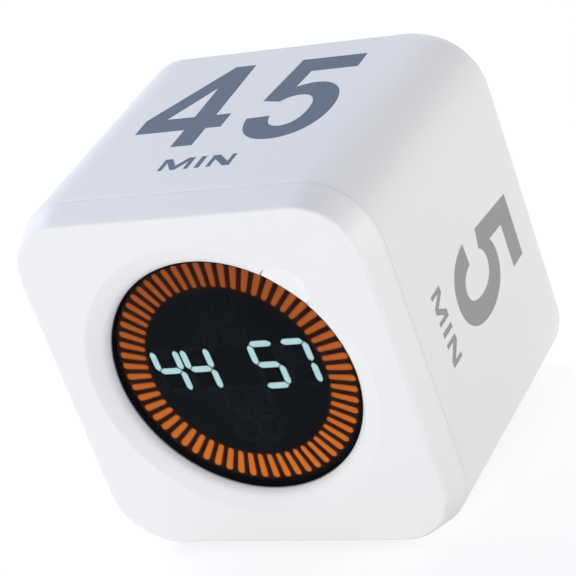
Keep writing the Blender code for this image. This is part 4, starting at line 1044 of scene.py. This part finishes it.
FIGURES = {
    "1": [path((4.6, 0), (8.4, 0), (8.4, 24.2), (5.5, 24.2), (5.1, 21.6, 3.6, 20.2, 0.4, 20.1), (0.4, 17.1), (4.6, 17.1))],
    "2": [path(
        (0, 0), (13.3, 0), (13.3, 4.1), (5.6, 4.1), (6.5, 5.7, 8.4, 7.0, 10.4, 8.8), (12.2, 10.5, 13.4, 13.0, 13.4, 16.6),
        (13.4, 21.4, 10.6, 24.5, 6.7, 24.5), (2.6, 24.5, 0.2, 21.3, 0.2, 16.2), (4.0, 16.2), (4.0, 19.1, 5.0, 20.8, 6.8, 20.8),
        (8.5, 20.8, 9.5, 19.4, 9.5, 16.9), (9.5, 14.5, 8.4, 12.7, 6.2, 10.9), (2.2, 7.7, 0.1, 4.9, 0, 0),
    )[:-1]],
    "4": [
        path((8.55, 0), (12.2, 0), (12.2, 4.95), (14.75, 4.95), (14.75, 8.85), (12.15, 8.85), (12.0, 24.15), (8.5, 24.15), (0, 9.05), (0, 4.95), (8.55, 4.95)),
        path((8.5, 8.85), (8.4, 17.7), (3.7, 8.85)),
    ],
    "5": [path(
        (1.85, 24.05), (12.7, 24.0), (12.7, 20.0), (4.95, 20.0), (4.5, 15.2), (5.3, 15.85, 6.4, 16.15, 7.65, 16.15),
        (11.1, 16.15, 13.65, 12.9, 13.65, 8.25), (13.65, 3.2, 10.8, -0.3, 6.55, -0.3), (2.9, -0.3, 0.4, 2.3, 0, 6.6),
        (3.8, 6.8), (4.1, 4.6, 5.1, 3.4, 6.7, 3.4), (8.6, 3.4, 9.7, 5.3, 9.7, 8.2), (9.7, 10.9, 8.4, 12.6, 6.4, 12.6),
        (5.2, 12.6, 4.2, 12.0, 3.6, 11.0), (0.5, 11.7),
    )],
}
WORD = [
    path((0, 0), (0, 3.3), (1.2, 3.3), (2.6, 1.15), (4.0, 3.3), (5.15, 3.3), (5.15, 0), (4.4, 0), (4.4, 2.2), (3.0, 0), (2.15, 0), (0.75, 2.2), (0.75, 0)),
    path((6.2, 0), (6.2, 3.3), (7.1, 3.3), (7.1, 0)),
    path((8.2, 0), (8.2, 3.3), (9.35, 3.3), (11.4, 1.2), (11.4, 3.3), (12.15, 3.3), (12.15, 0), (11.0, 0), (8.95, 2.1), (8.95, 0)),
]
print("outlines:", {name: [len(loop) for loop in loops] for name, loops in FIGURES.items()})


# %% Ink on the four sides
def ink_material(name, colour):
    """Screen-printed ink: slightly uneven cover, less gloss than the case."""
    look, tree, shader, where = new_look(name)
    surface = group_node(tree, MOULDED, where)
    surface.inputs["Colour"].default_value = (*colour, 1.0)
    surface.inputs["Drift"].default_value = 0.12
    surface.inputs["Roughness"].default_value = 0.5
    surface.inputs["Specks"].default_value = 0.15
    cover = noise(tree, where, 1500.0, 2.0)
    thin = math_node(tree, "MULTIPLY_ADD", cover, 0.06, -0.02, clamp=True)
    shader.inputs["Specular IOR Level"].default_value = 0.15
    tree.links.new(mix_colour(tree, thin, surface.outputs["Colour"], (0.7, 0.7, 0.72)), shader.inputs["Base Color"])
    tree.links.new(surface.outputs["Roughness"], shader.inputs["Roughness"])
    bump(tree, shader, surface.outputs["Height"], 0.3, 0.006 * MM)
    return look


SURFACE = HALF - SKIN_INSET - 0.004 * MM
SIDES = {
    "top": lambda u, w, h: np.stack([u, FRONT + w, HALF + SURFACE + h], -1),
    "right": lambda u, w, h: np.stack([SURFACE + h, FRONT + w, HALF - u], -1),
    "bottom": lambda u, w, h: np.stack([-u, FRONT + w, HALF - SURFACE - h], -1),
    "left": lambda u, w, h: np.stack([-SURFACE - h, FRONT + w, HALF + u], -1),
}
slate = ink_material("slate_ink", (0.090, 0.132, 0.206))
ash = ink_material("ash_ink", (0.328, 0.328, 0.330))


def print_minutes(side, figures, word_start, stretch, look):
    """Figures from (start, glyph) pairs and the word under them, in mm."""
    loops = []
    for start, name in figures:
        loops += [(loop * stretch + [start, 18.75]) * MM for loop in FIGURES[name]]
    loops += [(loop + [word_start, 11.6]) * MM for loop in WORD]
    made = piece("print_" + side, [plate_shell(loops, 0.015 * MM, SIDES[side])], "case", look)
    return made


print_minutes("top", [(-16.6, "4"), (2.09, "5")], -6.6, (1.02, 1.012), slate)
print_minutes("right", [(-6.2, "5")], -5.7, (0.978, 0.982), ash)
print_minutes("bottom", [(-15.2, "2"), (1.6, "5")], -6.1, (1.0, 1.0), slate)
print_minutes("left", [(-12.9, "1"), (-0.9, "5")], -6.1, (1.0, 1.0), slate)

# %% [markdown]
# ## The rear cover
#
# A flat plate in the rebate of the sleeve.  It has a field of sound holes
# over the speaker, a slot for the charging socket and one for the slide
# switch, and a countersunk seat for each corner screw.  The seats are cones
# of their own that stand in round holes of the plate.

# %% Cover plate, seats and speaker wall
SOCKET_UP, SWITCH_ACROSS, SWITCH_UP = 10.83 * MM, 14.3 * MM, 11.0 * MM
SPEAKER_UP = 36.5 * MM


def slot_outline(width, height, corner, across, up, steps=10):
    """Rounded rectangle: quarter circles about the four corner points."""
    t = np.linspace(0, math.pi / 2, steps)
    parts = []
    for quarter, (sx, sy) in enumerate(CORNERS):
        a = t + quarter * math.pi / 2
        parts.append(np.stack([
            across + sx * (width / 2 - corner) + corner * np.cos(a),
            up + sy * (height / 2 - corner) + corner * np.sin(a),
        ], -1))
    return np.concatenate(parts)


cover_half, cover_corner = HALF - REBATE - SEAM, CASE_CORNER - REBATE - SEAM
distance = square_ray(ANGLES, cover_half, cover_corner)
loops = [np.stack([distance * np.cos(ANGLES), distance * np.sin(ANGLES)], -1)]
loops.append(circle(0.7 * MM, 28, 0, SPEAKER_UP - HALF))
for ring in (1, 2):
    for step in range(6 * ring):
        turn = 2 * math.pi * step / (6 * ring)
        reach = ring * 2.9 * MM
        loops.append(circle(0.7 * MM, 28, reach * math.cos(turn), reach * math.sin(turn) + SPEAKER_UP - HALF))
loops.append(slot_outline(9.54 * MM, 3.86 * MM, 1.78 * MM, 0, SOCKET_UP - HALF))
loops.append(slot_outline(7.6 * MM, 2.6 * MM, 0.3 * MM, SWITCH_ACROSS, SWITCH_UP - HALF, 5))
loops += [circle(2.2 * MM, 56, x * REAR_BOSS_AT, z * REAR_BOSS_AT) for x, z in CORNERS]
cover_shells = [plate_shell(loops, 2.0 * MM, lambda u, w, h: np.stack([u, FRONT + COVER_FACE + h, HALF + w], -1), 0.16 * MM)]
for x, z in CORNERS:
    seat = [(2.3, 47.0), (2.3, 48.75), (2.2, 48.8), (1.25, 47.75), (1.2, 47.6), (1.2, 47.0)]
    rings = spun([(r * MM, FRONT + d * MM) for r, d in seat], (x * REAR_BOSS_AT, 0, HALF + z * REAR_BOSS_AT), "y", 56)
    cover_shells.append(shell(rings, joined=True))
wall = [(11.3, 44.6), (11.3, 47.3), (10.3, 47.3), (10.3, 44.6)]
cover_shells.append(shell(spun([(r * MM, FRONT + d * MM) for r, d in wall], (0, 0, SPEAKER_UP), "y", 90), joined=True))
cover = piece("cover_plate", cover_shells, "case", back_white)
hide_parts("rear_cover")

# %% [markdown]
# ## Metals
#
# Screws, the socket's shell and the switch's frame are bright steel.  A fine
# noise, stretched along one way, breaks up its gloss as drawing and plating
# do.

# %% Steel
def metal(name, colour, roughness, stretch=(1.0, 1.0, 6.0), scratches=0.2):
    look, tree, shader, where = new_look(name)
    mapping = tree.nodes.new("ShaderNodeMapping")
    mapping.inputs["Scale"].default_value = stretch
    tree.links.new(where, mapping.inputs["Vector"])
    drawn = noise(tree, mapping.outputs["Vector"], 1400.0, 3.0, 0.6)
    broad = noise(tree, where, 200.0, 2.0)
    tree.links.new(mix_colour(tree, broad, colour, tuple(0.86 * c for c in colour)), shader.inputs["Base Color"])
    rough = math_node(tree, "MULTIPLY_ADD", drawn, scratches, roughness - scratches / 2, clamp=True)
    tree.links.new(rough, shader.inputs["Roughness"])
    shader.inputs["Metallic"].default_value = 1.0
    bump(tree, shader, drawn, 0.2, 0.004 * MM)
    return look


steel = metal("drawn_steel", (0.60, 0.60, 0.61), 0.28)
zinc = metal("zinc_screw", (0.52, 0.52, 0.54), 0.33, (1.0, 1.0, 1.0), 0.25)
gold = metal("gilt_contact", (0.80, 0.58, 0.24), 0.25, (1.0, 6.0, 1.0), 0.15)
print("metals:", steel.name, zinc.name, gold.name)

# %% Rear screws with a cross recess
def recess(x, z):
    """Depth of a cross recess: each arm's depth falls off at its sides and
    at its end, D clip((w - |side|) / s) clip((L - |along|) / t)."""
    side, along = np.minimum(abs(x), abs(z)), np.maximum(abs(x), abs(z))
    across = np.clip((0.34 * MM - side) / (0.12 * MM), 0, 1)
    end = np.clip((1.15 * MM - along) / (0.45 * MM), 0, 1)
    return 0.6 * MM * across * end


def screw_shell(centre, turn):
    t = np.linspace(0, 2 * math.pi, 96, endpoint=False)
    top = 48.85 * MM
    rings = []
    for r in np.linspace(0.04, 1.5, 34) * MM:
        x, z = r * np.cos(t), r * np.sin(t)
        c, s = math.cos(turn), math.sin(turn)
        d = top - recess(x * c + z * s, z * c - x * s)
        rings.append(np.stack([centre[0] + x, FRONT + d, centre[1] + z], -1))
    for r, d in ((1.7, 48.85), (1.84, 48.84), (1.9, 48.78), (1.88, 48.7), (0.95, 47.7), (0.9, 47.6), (0.9, 41.2), (0.5, 40.85)):
        rings.append(np.stack([centre[0] + r * MM * np.cos(t), np.full(96, FRONT + d * MM), centre[1] + r * MM * np.sin(t)], -1))
    return shell(rings)


for number, (x, z) in enumerate(CORNERS, 1):
    made = piece("rear_screw_%d_head" % number, [screw_shell((x * REAR_BOSS_AT, HALF + z * REAR_BOSS_AT), 0.5 + 0.9 * number)], "case", zinc, 40)
    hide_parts("rear_screw_%d" % number)

# %% Charging socket
def upright_outline(width, height, corner, depth, up, across=0.0, steps=10):
    loop = slot_outline(width, height, corner, across, up, steps)
    return np.stack([loop[:, 0], np.full(len(loop), FRONT + depth), loop[:, 1]], -1)


outer_w, outer_h, inner_w, inner_h = 8.94, 3.26, 8.34, 2.66
levels = [(outer_w - 0.1, outer_h - 0.1, 41.5), (outer_w, outer_h, 41.6), (outer_w, outer_h, 48.58), (outer_w - 0.1, outer_h - 0.1, 48.7)]
levels += [(inner_w + 0.1, inner_h + 0.1, 48.7), (inner_w, inner_h, 48.58), (inner_w, inner_h, 42.2)]
rings = [upright_outline(w * MM, h * MM, (h / 2 - 0.1) * MM, d * MM, SOCKET_UP) for w, h, d in levels]
socket_shell = piece("usb_c_mouth", [shell(rings)], "case", steel)
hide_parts("usb_c_shell")
tongue = block((-3.35 * MM, FRONT + 42.35 * MM, SOCKET_UP - 0.35 * MM), (3.35 * MM, FRONT + 47.3 * MM, SOCKET_UP + 0.35 * MM), 0.12 * MM)
tongue_piece = piece("usb_c_blade", [tongue], "case", black_plastic)
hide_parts("usb_c_tongue")
pads = []
for k in range(12):
    x = (k - 5.5) * 0.5 * MM
    for low, high in ((0.33, 0.37), (-0.37, -0.33)):
        pads.append(block((x - 0.14 * MM, FRONT + 43.4 * MM, SOCKET_UP + low * MM), (x + 0.14 * MM, FRONT + 46.9 * MM, SOCKET_UP + high * MM), 0.01 * MM))
contacts = piece("usb_c_contacts", pads, "case", gold)

# %% Slide switch knob
def knob_shell():
    """Ribbed slider: its end face is y = end - d (1 - cos(2 pi n u)) / 2 over
    the width, with n ribs, and its section shrinks at the top and foot."""
    u = np.linspace(-0.5, 0.5, 61)
    shape = 48.6 * MM - 0.25 * MM * (1 + np.cos(2 * math.pi * 4 * u)) / 2
    near_end = np.clip((0.5 - abs(u)) / 0.06, 0, 1)
    shape -= 0.3 * MM * (1 - np.sqrt(1 - (1 - near_end) ** 2 + 1e-9))
    x = np.concatenate([u * 3.0 * MM, [1.5 * MM, -1.5 * MM]])
    y = np.concatenate([shape, [42.75 * MM, 42.75 * MM]])
    rings = []
    for z, pull in ((-1.0, 0.3), (-0.93, 0.09), (-0.8, 0.0), (0.8, 0.0), (0.93, 0.09), (1.0, 0.3)):
        pulled = np.where(y > 45 * MM, y - pull * 0.5 * MM, y)
        rings.append(np.stack([SWITCH_ACROSS + x * (1 - pull * 0.08), FRONT + pulled, np.full(len(x), SWITCH_UP + z * MM)], -1))
    return shell(rings)


knob = piece("switch_knob", [knob_shell()], "knob", black_plastic, 40)
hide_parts("slide_switch_knob")

# %% [markdown]
# ## Inside the case
#
# The parts inside keep the shapes of the solid model, and get the finish of
# the real thing: green solder mask with fine copper tracks under it, moulded
# black chips, ivory connectors, a crinkled foil pouch, open foam, black paper
# for the speaker's cone, and a ribbon with its row of conductors.

# %% Circuit board
def board_material(name, across, along):
    """Green lacquer over tracks: a track shows where the fractional part of
    a coordinate, bent by a noise in steps, is small."""
    look, tree, shader, where = new_look(name)
    split = tree.nodes.new("ShaderNodeSeparateXYZ")
    tree.links.new(where, split.inputs[0])
    patch = noise(tree, where, 140.0, 0.0)
    stepped = math_node(tree, "MULTIPLY", math_node(tree, "FLOOR", math_node(tree, "MULTIPLY", patch, 14.0)), 0.4)
    first = math_node(tree, "FRACT", math_node(tree, "MULTIPLY_ADD", split.outputs[across], 900.0, stepped))
    second = math_node(tree, "FRACT", math_node(tree, "MULTIPLY_ADD", split.outputs[along], 700.0, stepped))
    lines = math_node(tree, "MINIMUM", first, math_node(tree, "MULTIPLY_ADD", math_node(tree, "GREATER_THAN", patch, 0.52), 1.0, second))
    track = math_node(tree, "LESS_THAN", lines, 0.32)
    colour = mix_colour(tree, track, (0.012, 0.105, 0.042), (0.030, 0.215, 0.085))
    dull = noise(tree, where, 60.0, 2.0)
    tree.links.new(mix_colour(tree, math_node(tree, "MULTIPLY", dull, 0.25), colour, (0.02, 0.09, 0.05)), shader.inputs["Base Color"])
    tree.links.new(math_node(tree, "MULTIPLY_ADD", dull, 0.2, 0.25), shader.inputs["Roughness"])
    bump(tree, shader, track, 0.4, 0.03 * MM)
    return look


front_board = board_material("front_board_lacquer", "X", "Z")
main_lacquer = board_material("main_board_lacquer", "X", "Y")
print("boards:", front_board.name, main_lacquer.name)


# %% Pouch, foam, paper and film
def crinkled_foil():
    look, tree, shader, where = new_look("cell_pouch_foil")
    cells = tree.nodes.new("ShaderNodeTexVoronoi")
    cells.feature = "SMOOTH_F1"
    cells.inputs["Scale"].default_value = 160.0
    tree.links.new(where, cells.inputs["Vector"])
    creases = math_node(tree, "ADD", cells.outputs["Distance"], noise(tree, where, 320.0, 3.0))
    # Painted shade: the foil's colour is darker where its crinkles are low.
    tree.links.new(mix_colour(tree, creases, (0.52, 0.54, 0.57), (0.68, 0.69, 0.71)), shader.inputs["Base Color"])
    tree.links.new(math_node(tree, "MULTIPLY_ADD", creases, 0.12, 0.22), shader.inputs["Roughness"])
    shader.inputs["Metallic"].default_value = 0.85
    bump(tree, shader, creases, 0.5, 0.12 * MM)
    return look


def cellular(name, colour, scale, depth, dark=0.45):
    """Open foam or pressed paper: cells dent the surface, and painted shade darkens their hollows."""
    look, tree, shader, where = new_look(name)
    cells = tree.nodes.new("ShaderNodeTexVoronoi")
    cells.inputs["Scale"].default_value = scale
    tree.links.new(where, cells.inputs["Vector"])
    fibres = noise(tree, where, scale * 0.6, 4.0, 0.7)
    height = math_node(tree, "MULTIPLY_ADD", fibres, 0.6, cells.outputs["Distance"])
    # Painted shade: the colour falls to dark times itself in the low parts of the cells.
    tree.links.new(mix_colour(tree, height, tuple(c * dark for c in colour), colour), shader.inputs["Base Color"])
    tree.links.new(math_node(tree, "MULTIPLY_ADD", fibres, 0.15, 0.8, clamp=True), shader.inputs["Roughness"])
    bump(tree, shader, height, 0.6, depth)
    return look


def striped_film():
    """Ribbon: a conductor where the fractional part of x over the pitch is
    under a half, seen through pale film."""
    look, tree, shader, where = new_look("ribbon_conductors")
    split = tree.nodes.new("ShaderNodeSeparateXYZ")
    tree.links.new(where, split.inputs[0])
    wave = math_node(tree, "FRACT", math_node(tree, "MULTIPLY", split.outputs["X"], 1000.0))
    strip = math_node(tree, "LESS_THAN", wave, 0.55)
    haze = noise(tree, where, 300.0, 2.0)
    colour = mix_colour(tree, strip, (0.74, 0.73, 0.68), (0.55, 0.52, 0.46))
    tree.links.new(mix_colour(tree, math_node(tree, "MULTIPLY", haze, 0.3), colour, (0.8, 0.8, 0.78)), shader.inputs["Base Color"])
    tree.links.new(math_node(tree, "MULTIPLY_ADD", haze, 0.2, 0.28), shader.inputs["Roughness"])
    bump(tree, shader, strip, 0.3, 0.03 * MM)
    return look


foil = crinkled_foil()
foam = cellular("open_foam", (0.20, 0.20, 0.21), 1100.0, 0.15 * MM)
paper = cellular("cone_paper", (0.045, 0.045, 0.047), 900.0, 0.05 * MM)
film = striped_film()
magnet_metal = metal("magnet_nickel", (0.34, 0.33, 0.32), 0.35)
print("inner finishes:", foil.name, foam.name, paper.name, film.name)

# %% Give the remaining nodes their finish
FINISHES = {
    front_board: ["display_board"],
    main_lacquer: ["main_board"],
    black_plastic: ["tact_switch_body", "mcu_chip", "charger_chip", "tilt_sensor"],
    nylon: ["tact_plunger", "battery_connector", "speaker_connector", "ribbon_socket_front", "ribbon_socket_rear"],
    steel: ["slide_switch_frame", "speaker_frame"],
    zinc: ["%s_screw_%d" % (kind, n) for kind in ("display", "board") for n in range(1, 5)],
    foil: ["battery_cell"],
    foam: ["battery_pad"],
    paper: ["speaker_cone"],
    magnet_metal: ["speaker_magnet"],
    film: ["ribbon_cable"],
}
for look, names in FINISHES.items():
    for name in names:
        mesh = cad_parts[name].data
        mesh.materials.clear()
        mesh.materials.append(look)
shown = [name for name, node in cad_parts.items() if not node.hide_render]
print("nodes shown:", len(shown), "given a finish:", sum(len(n) for n in FINISHES.values()))

# %% [markdown]
# ## Floor, light and background
#
# The cube stands on a plain pale floor under soft light: low panels in front,
# at the left, at the right and behind, one above, and a cool room light.  The
# strengths were found by rendering the cube under one lamp at a time and
# choosing the mixture that comes closest to the picture's shades.  The
# picture's background is white.  The floor gets there by its own colour for
# the camera, with a little glow under it, and keeps the cube's shadow; no
# light is added to the cube for it.

# %% Floor
def floor_material():
    look, tree, shader, where = new_look("pale_floor")
    output = tree.nodes["Material Output"]
    spread = noise(tree, where, 3.0, 2.0)
    tree.links.new(mix_colour(tree, spread, (0.78, 0.78, 0.78), (0.82, 0.82, 0.82)), shader.inputs["Base Color"])
    shader.inputs["Roughness"].default_value = 0.9
    shader.inputs["Specular IOR Level"].default_value = 0.0
    seen = tree.nodes.new("ShaderNodeBsdfDiffuse")
    seen.inputs["Color"].default_value = (0.40, 0.40, 0.41, 1.0)
    glow = tree.nodes.new("ShaderNodeEmission")
    glow.inputs["Color"].default_value = (1.0, 1.0, 1.0, 1.0)
    glow.inputs["Strength"].default_value = 0.74
    both = tree.nodes.new("ShaderNodeAddShader")
    tree.links.new(seen.outputs[0], both.inputs[0])
    tree.links.new(glow.outputs[0], both.inputs[1])
    light = tree.nodes.new("ShaderNodeLightPath")
    ray = math_node(tree, "MAXIMUM", light.outputs["Is Camera Ray"], light.outputs["Is Glossy Ray"])
    ray = math_node(tree, "MAXIMUM", ray, light.outputs["Is Transmission Ray"])
    mix = tree.nodes.new("ShaderNodeMixShader")
    tree.links.new(ray, mix.inputs[0])
    tree.links.new(shader.outputs[0], mix.inputs[1])
    tree.links.new(both.outputs[0], mix.inputs[2])
    tree.links.new(mix.outputs[0], output.inputs["Surface"])
    return look


reach = 6.0
floor_mesh = bpy.data.meshes.new("floor")
floor_mesh.from_pydata([(-reach, -reach, 0), (reach, -reach, 0), (reach, reach, 0), (-reach, reach, 0)], [], [(0, 1, 2, 3)])
floor_mesh.materials.append(floor_material())
floor = bpy.data.objects.new("floor", floor_mesh)
bpy.context.scene.collection.objects.link(floor)
print("floor", 2 * reach, "m wide")


# %% Room light
world = bpy.data.worlds.new("room")
bpy.context.scene.world = world
world.use_nodes = True
tree = world.node_tree
tree.nodes.clear()
room = tree.nodes.new("ShaderNodeBackground")
room.inputs["Color"].default_value = (0.58, 0.69, 1.0, 1.0)
room.inputs["Strength"].default_value = 0.26
white = tree.nodes.new("ShaderNodeBackground")
white.inputs["Color"].default_value = (1.0, 1.0, 1.0, 1.0)
white.inputs["Strength"].default_value = 1.0
light = tree.nodes.new("ShaderNodeLightPath")
ray = math_node(tree, "MAXIMUM", light.outputs["Is Camera Ray"], light.outputs["Is Glossy Ray"])
ray = math_node(tree, "MAXIMUM", ray, light.outputs["Is Transmission Ray"])
mix = tree.nodes.new("ShaderNodeMixShader")
output = tree.nodes.new("ShaderNodeOutputWorld")
tree.links.new(ray, mix.inputs[0])
tree.links.new(room.outputs[0], mix.inputs[1])
tree.links.new(white.outputs[0], mix.inputs[2])
tree.links.new(mix.outputs[0], output.inputs["Surface"])
print("room light", room.inputs["Strength"].default_value)


# %% Panels of light
def panel(name, direction, distance, size, watts, colour):
    """A square lamp that looks at the cube's middle from a direction."""
    data = bpy.data.lights.new(name, "AREA")
    data.shape = "SQUARE"
    data.size = size
    data.energy = watts
    data.color = colour
    lamp = bpy.data.objects.new(name, data)
    bpy.context.scene.collection.objects.link(lamp)
    way = np.array(direction, float) / np.linalg.norm(direction)
    lamp.location = tuple(np.array([0, 0, HALF]) + way * distance)
    lamp.rotation_mode = "QUATERNION"
    from_down = np.array([0.0, 0.0, 1.0])
    axis = np.cross(from_down, way)
    half = math.acos(float(np.clip(way[2], -1, 1))) / 2
    axis = axis / max(np.linalg.norm(axis), 1e-9)
    lamp.rotation_quaternion = Quaternion((math.cos(half), *(axis * math.sin(half))))
    return lamp


panel("front_panel", (-0.05, -1.0, 0.15), 3.0, 0.8, 50.0, (1.0, 0.94, 0.88))
panel("left_panel", (-0.8, -0.6, 0.15), 3.0, 0.8, 19.0, (0.94, 1.0, 0.84))
panel("right_panel", (1.0, 0.3, 0.13), 3.0, 0.6, 52.0, (1.0, 0.95, 0.81))
panel("top_panel", (-0.75, 0.4, 0.6), 3.0, 2.0, 58.5, (0.87, 0.89, 0.97))
panel("back_panel", (-0.2, 1.0, 0.25), 3.0, 1.1, 22.0, (1.0, 0.96, 0.88))

# %% Plain view of the colours
bpy.context.scene.view_settings.view_transform = "Standard"
print("view:", bpy.context.scene.view_settings.view_transform)
